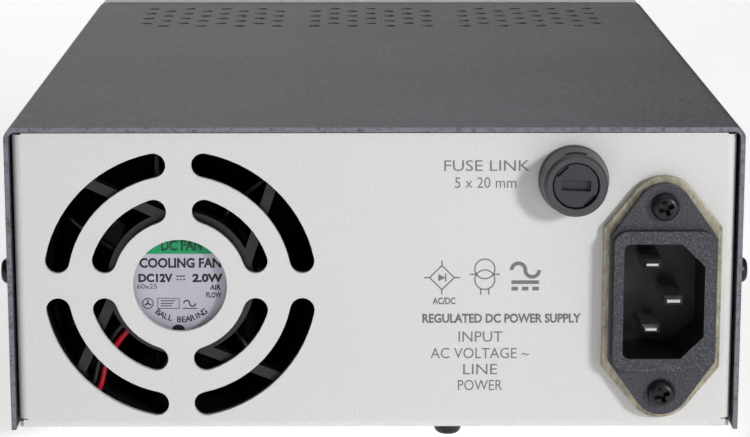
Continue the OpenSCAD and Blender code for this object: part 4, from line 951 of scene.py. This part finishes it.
# %% Chamfered pins and their tabs
def skin_along_y(sections, x, z):
    """A solid skinned over rectangles along Y. Each section is (y, width, height)."""
    made = bmesh.new()
    corners = ((-1, -1), (1, -1), (1, 1), (-1, 1))
    rows = [[made.verts.new((x + sx * w / 2, y, z + sz * h / 2)) for sx, sz in corners]
            for y, w, h in sections]
    made.faces.new(rows[0])
    made.faces.new(rows[-1][::-1])
    for low_row, high_row in zip(rows, rows[1:]):
        for k in range(4):
            j = (k + 1) % 4
            made.faces.new((low_row[k], high_row[k], high_row[j], low_row[j]))
    bmesh.ops.recalc_face_normals(made, faces=made.faces)
    return as_mesh("skin", made)


pins_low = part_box("inlet_pins")[0]
PIN_W, PIN_H = 4 * MM, 2 * MM
TAB_W, TAB_H = 6.3 * MM, 0.8 * MM
pin_parts = []
for dx, dz, setback in ((2.1, 7, 4.2), (2.1, -7, 4.2), (-2.1, 0, 0.6)):
    x, z, tip = inlet.x + dx * MM, inlet.z + dz * MM, rim_y - setback * MM
    pin = [(panel_y - 13.9 * MM, PIN_W, PIN_H), (tip - 1.0 * MM, PIN_W, PIN_H),
           (tip - 0.12 * MM, 2.7 * MM, 0.75 * MM), (tip, 2.3 * MM, 0.45 * MM)]
    tab = [(pins_low.y, 4.8 * MM, 0.5 * MM), (pins_low.y + 1.2 * MM, TAB_W, TAB_H),
           (pins_low.y + 9 * MM, TAB_W, TAB_H)]
    pin_parts += [(skin_along_y(pin, x, z), Matrix()), (skin_along_y(tab, x, z), Matrix())]
set_piece("inlet_pin_set", joined("inlet_pin_set", pin_parts), finishes["nickel"],
          stands_for=["inlet_pins"])
print("pins:", len(pin_parts) // 2)

# %% [markdown]
# ## Fuse holder's mark
# A short raised bar on the top of the cone shows where the cap's slot must point when it is closed.

# %% Raised arc on the fuse holder
def arc_bar(inner, outer, start, end, y0, y1, steps=16):
    """A bar bent round the Y axis between two radii and two angles."""
    made = bmesh.new()
    rows = []
    for k in range(steps + 1):
        a = math.radians(start + (end - start) * k / steps)
        rows.append([made.verts.new((r * math.cos(a), y, r * math.sin(a)))
                     for r, y in ((inner, y0), (outer, y0), (outer, y1), (inner, y1))])
    made.faces.new(rows[0])
    made.faces.new(rows[-1][::-1])
    for one, two in zip(rows, rows[1:]):
        for k in range(4):
            j = (k + 1) % 4
            made.faces.new((one[k], two[k], two[j], one[j]))
    bmesh.ops.recalc_face_normals(made, faces=made.faces)
    return as_mesh("arc_bar", made)


holder_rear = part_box("fuse_holder")[1].y
mark = joined("fuse_holder_mark", [(arc_bar(6.4 * MM, 6.98 * MM, 71, 109, holder_rear - 2.3 * MM,
                                            holder_rear - 1.5 * MM), at((fuse.x, 0, fuse.z)))])
# The mark is in darker black plastic than the holder: painted shade for the dark slot outline on the cone.
set_piece("fuse_holder_mark", mark, finishes["post_black"])
print("fuse mark set")

# %% [markdown]
# ## Digits
# A digit has seven bars, and each bar is a six-sided lozenge. The lit bars glow, and the dark ones
# stay faintly visible behind the red window, as they do on a real display.

# %% Seven-segment digits
LIT_BARS = {"0": "abcdef", "1": "bc", "2": "abged", "5": "afgcd"}
unlit = moulded("unlit_bar", srgb(70, 44, 44), 0.5)


def lozenge(length, width, upright):
    """One bar of a digit."""
    l, w = length / 2, width / 2
    points = [(-l, 0), (-l + w, w), (l - w, w), (l, 0), (l - w, -w), (-l + w, -w)]
    return sheet_outline([(y, x) if upright else (x, y) for x, y in points])


def digit(text, x, z, wide, tall, lit_side):
    """The lit or the unlit bars of one digit."""
    half_w, half_h, line = wide / 2, tall / 2, 0.9 * MM
    bars = {"a": (0, half_h, False), "g": (0, 0, False), "d": (0, -half_h, False),
            "b": (half_w, half_h / 2, True), "c": (half_w, -half_h / 2, True),
            "f": (-half_w, half_h / 2, True), "e": (-half_w, -half_h / 2, True)}
    return [(lozenge((half_h if up else wide) - 0.25 * MM, line, up), x + bx + bz * 0.12, z + bz)
            for key, (bx, bz, up) in bars.items() if (key in LIT_BARS[text]) == lit_side]


face_low, face_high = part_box("led_displays")
display_z = (face_low.z + face_high.z) / 2
volts_x, amps_x = face_low.x + 15.3 * MM, face_high.x - 15.3 * MM
DIGIT_W, DIGIT_H, DIGIT_PITCH = 4.4 * MM, 9.6 * MM, 7.2 * MM
turns = [math.tau * k / 12 for k in range(12)]
point = sheet_outline([(0.55 * MM * math.cos(t), 0.55 * MM * math.sin(t)) for t in turns])
glowing, dark = [], []
for centre, text in ((volts_x, "1200"), (amps_x, "0250")):
    for k, character in enumerate(text):
        x = centre + (k - 1.5) * DIGIT_PITCH
        glowing += digit(character, x, display_z, DIGIT_W, DIGIT_H, True)
        dark += digit(character, x, display_z, DIGIT_W, DIGIT_H, False)
    glowing.append((point, centre - 0.5 * DIGIT_PITCH + 3.1 * MM, display_z - 4.9 * MM))
face = (0, face_low.y - 0.02 * MM, 0)
printed("display_digits", glowing, face, TO_FRONT, digit_glow)
printed("display_unlit_bars", dark, face, TO_FRONT, unlit)
print("digits: two displays of four")

# %% [markdown]
# ## Front legends
# The fascia is printed in white. Each word names the control beside it, and the posts carry the plus,
# the minus and the earth sign.

# %% White print on the fascia
white_ink = moulded("white_ink", srgb(228, 229, 230), 0.5, 0.3 * MM, 0.004 * MM, 0.04)
knobs = {side: middle(f"{side}_knob") for side in ("voltage", "current")}
posts = {c: middle(f"{c}_post_base") for c in ("red", "green", "black")}
button, switch = middle("output_button"), middle("power_switch")
knob_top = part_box("voltage_knob")[1].z
post_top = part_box("red_post_base")[1].z + 1.4 * MM
SMALL = 1.9 * MM
lens_x = (knobs["voltage"].x + knobs["current"].x) / 2
front_words = [
    (letters("VOLTAGE", SMALL), knobs["voltage"].x, knob_top + 1.2 * MM),
    (letters("CURRENT", SMALL), knobs["current"].x, knob_top + 1.2 * MM),
    (letters("VOLTS", SMALL), volts_x, display_z - 15 * MM),
    (letters("AMPS", SMALL), amps_x, display_z - 15 * MM),
    (letters("OUTPUT", SMALL), button.x, button.z + 7.6 * MM),
    (letters("ON", SMALL), button.x + 14 * MM, button.z + 3.4 * MM),
    (letters("POWER", SMALL), switch.x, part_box("power_switch")[0].z - 3.2 * MM),
    (letters("+", 3.2 * MM, None, 0.02), posts["red"].x, post_top),
    (stroke((-1.3 * MM, 1.6 * MM), (1.3 * MM, 1.6 * MM), 0.5 * MM), posts["black"].x, post_top),
    (letters("CV", 1.6 * MM), lens_x, knobs["voltage"].z + 1.6 * MM),
    (letters("CC", 1.6 * MM), lens_x, knobs["voltage"].z - 8.8 * MM),
]
earth = posts["green"].x
front_words.append((stroke((0, 3.2 * MM), (0, 1.7 * MM), 0.35 * MM), earth, post_top))
for k, half in enumerate((1.5, 0.95, 0.4)):
    step_z = (1.7 - 0.7 * k) * MM
    front_words.append((stroke((-half * MM, step_z), (half * MM, step_z), 0.35 * MM), earth, post_top))
printed("front_words", front_words, (0, fascia_y, 0), TO_FRONT, white_ink)
for side, place in knobs.items():
    face_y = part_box(f"{side}_knob")[0].y
    line = [(stroke((0, 3.7 * MM), (0, 8.2 * MM), 0.8 * MM), 0, 0)]
    printed(f"{side}_pointer", line, (place.x, face_y + 0.45 * MM, place.z), TO_FRONT, white_ink,
            f"{side}_control", 0.3 * MM)

# %% [markdown]
# ## Rocker marks
# A bar marks on and a ring marks off. The rocker's upper face tips 20 degrees, so its mark is turned
# with it, and both marks ride on the rocker's body.

# %% Marks on the rocker
pivot = (switch.x, fascia_y + 1.5 * MM, switch.z)
FACE_OUT = 4.02 * MM
tipped = Matrix.Rotation(math.radians(20), 4, "X")
upper_face = tipped @ Matrix.Translation((0, -FACE_OUT, 4.3 * MM)) @ TO_FRONT
lower_face = Matrix.Translation((0, -FACE_OUT, -4.4 * MM)) @ TO_FRONT
bar_mark = stroke((0, -1.4 * MM), (0, 1.4 * MM), 0.45 * MM)
ring_mark = ring(1.3 * MM, 0.42 * MM)
printed("rocker_mark_on", [(bar_mark, 0, 0)], pivot, upper_face, white_ink, "power_rocker")
printed("rocker_mark_off", [(ring_mark, 0, 0)], pivot, lower_face, white_ink, "power_rocker")
print("front print:", len(front_words), "items, two pointers, two rocker marks")
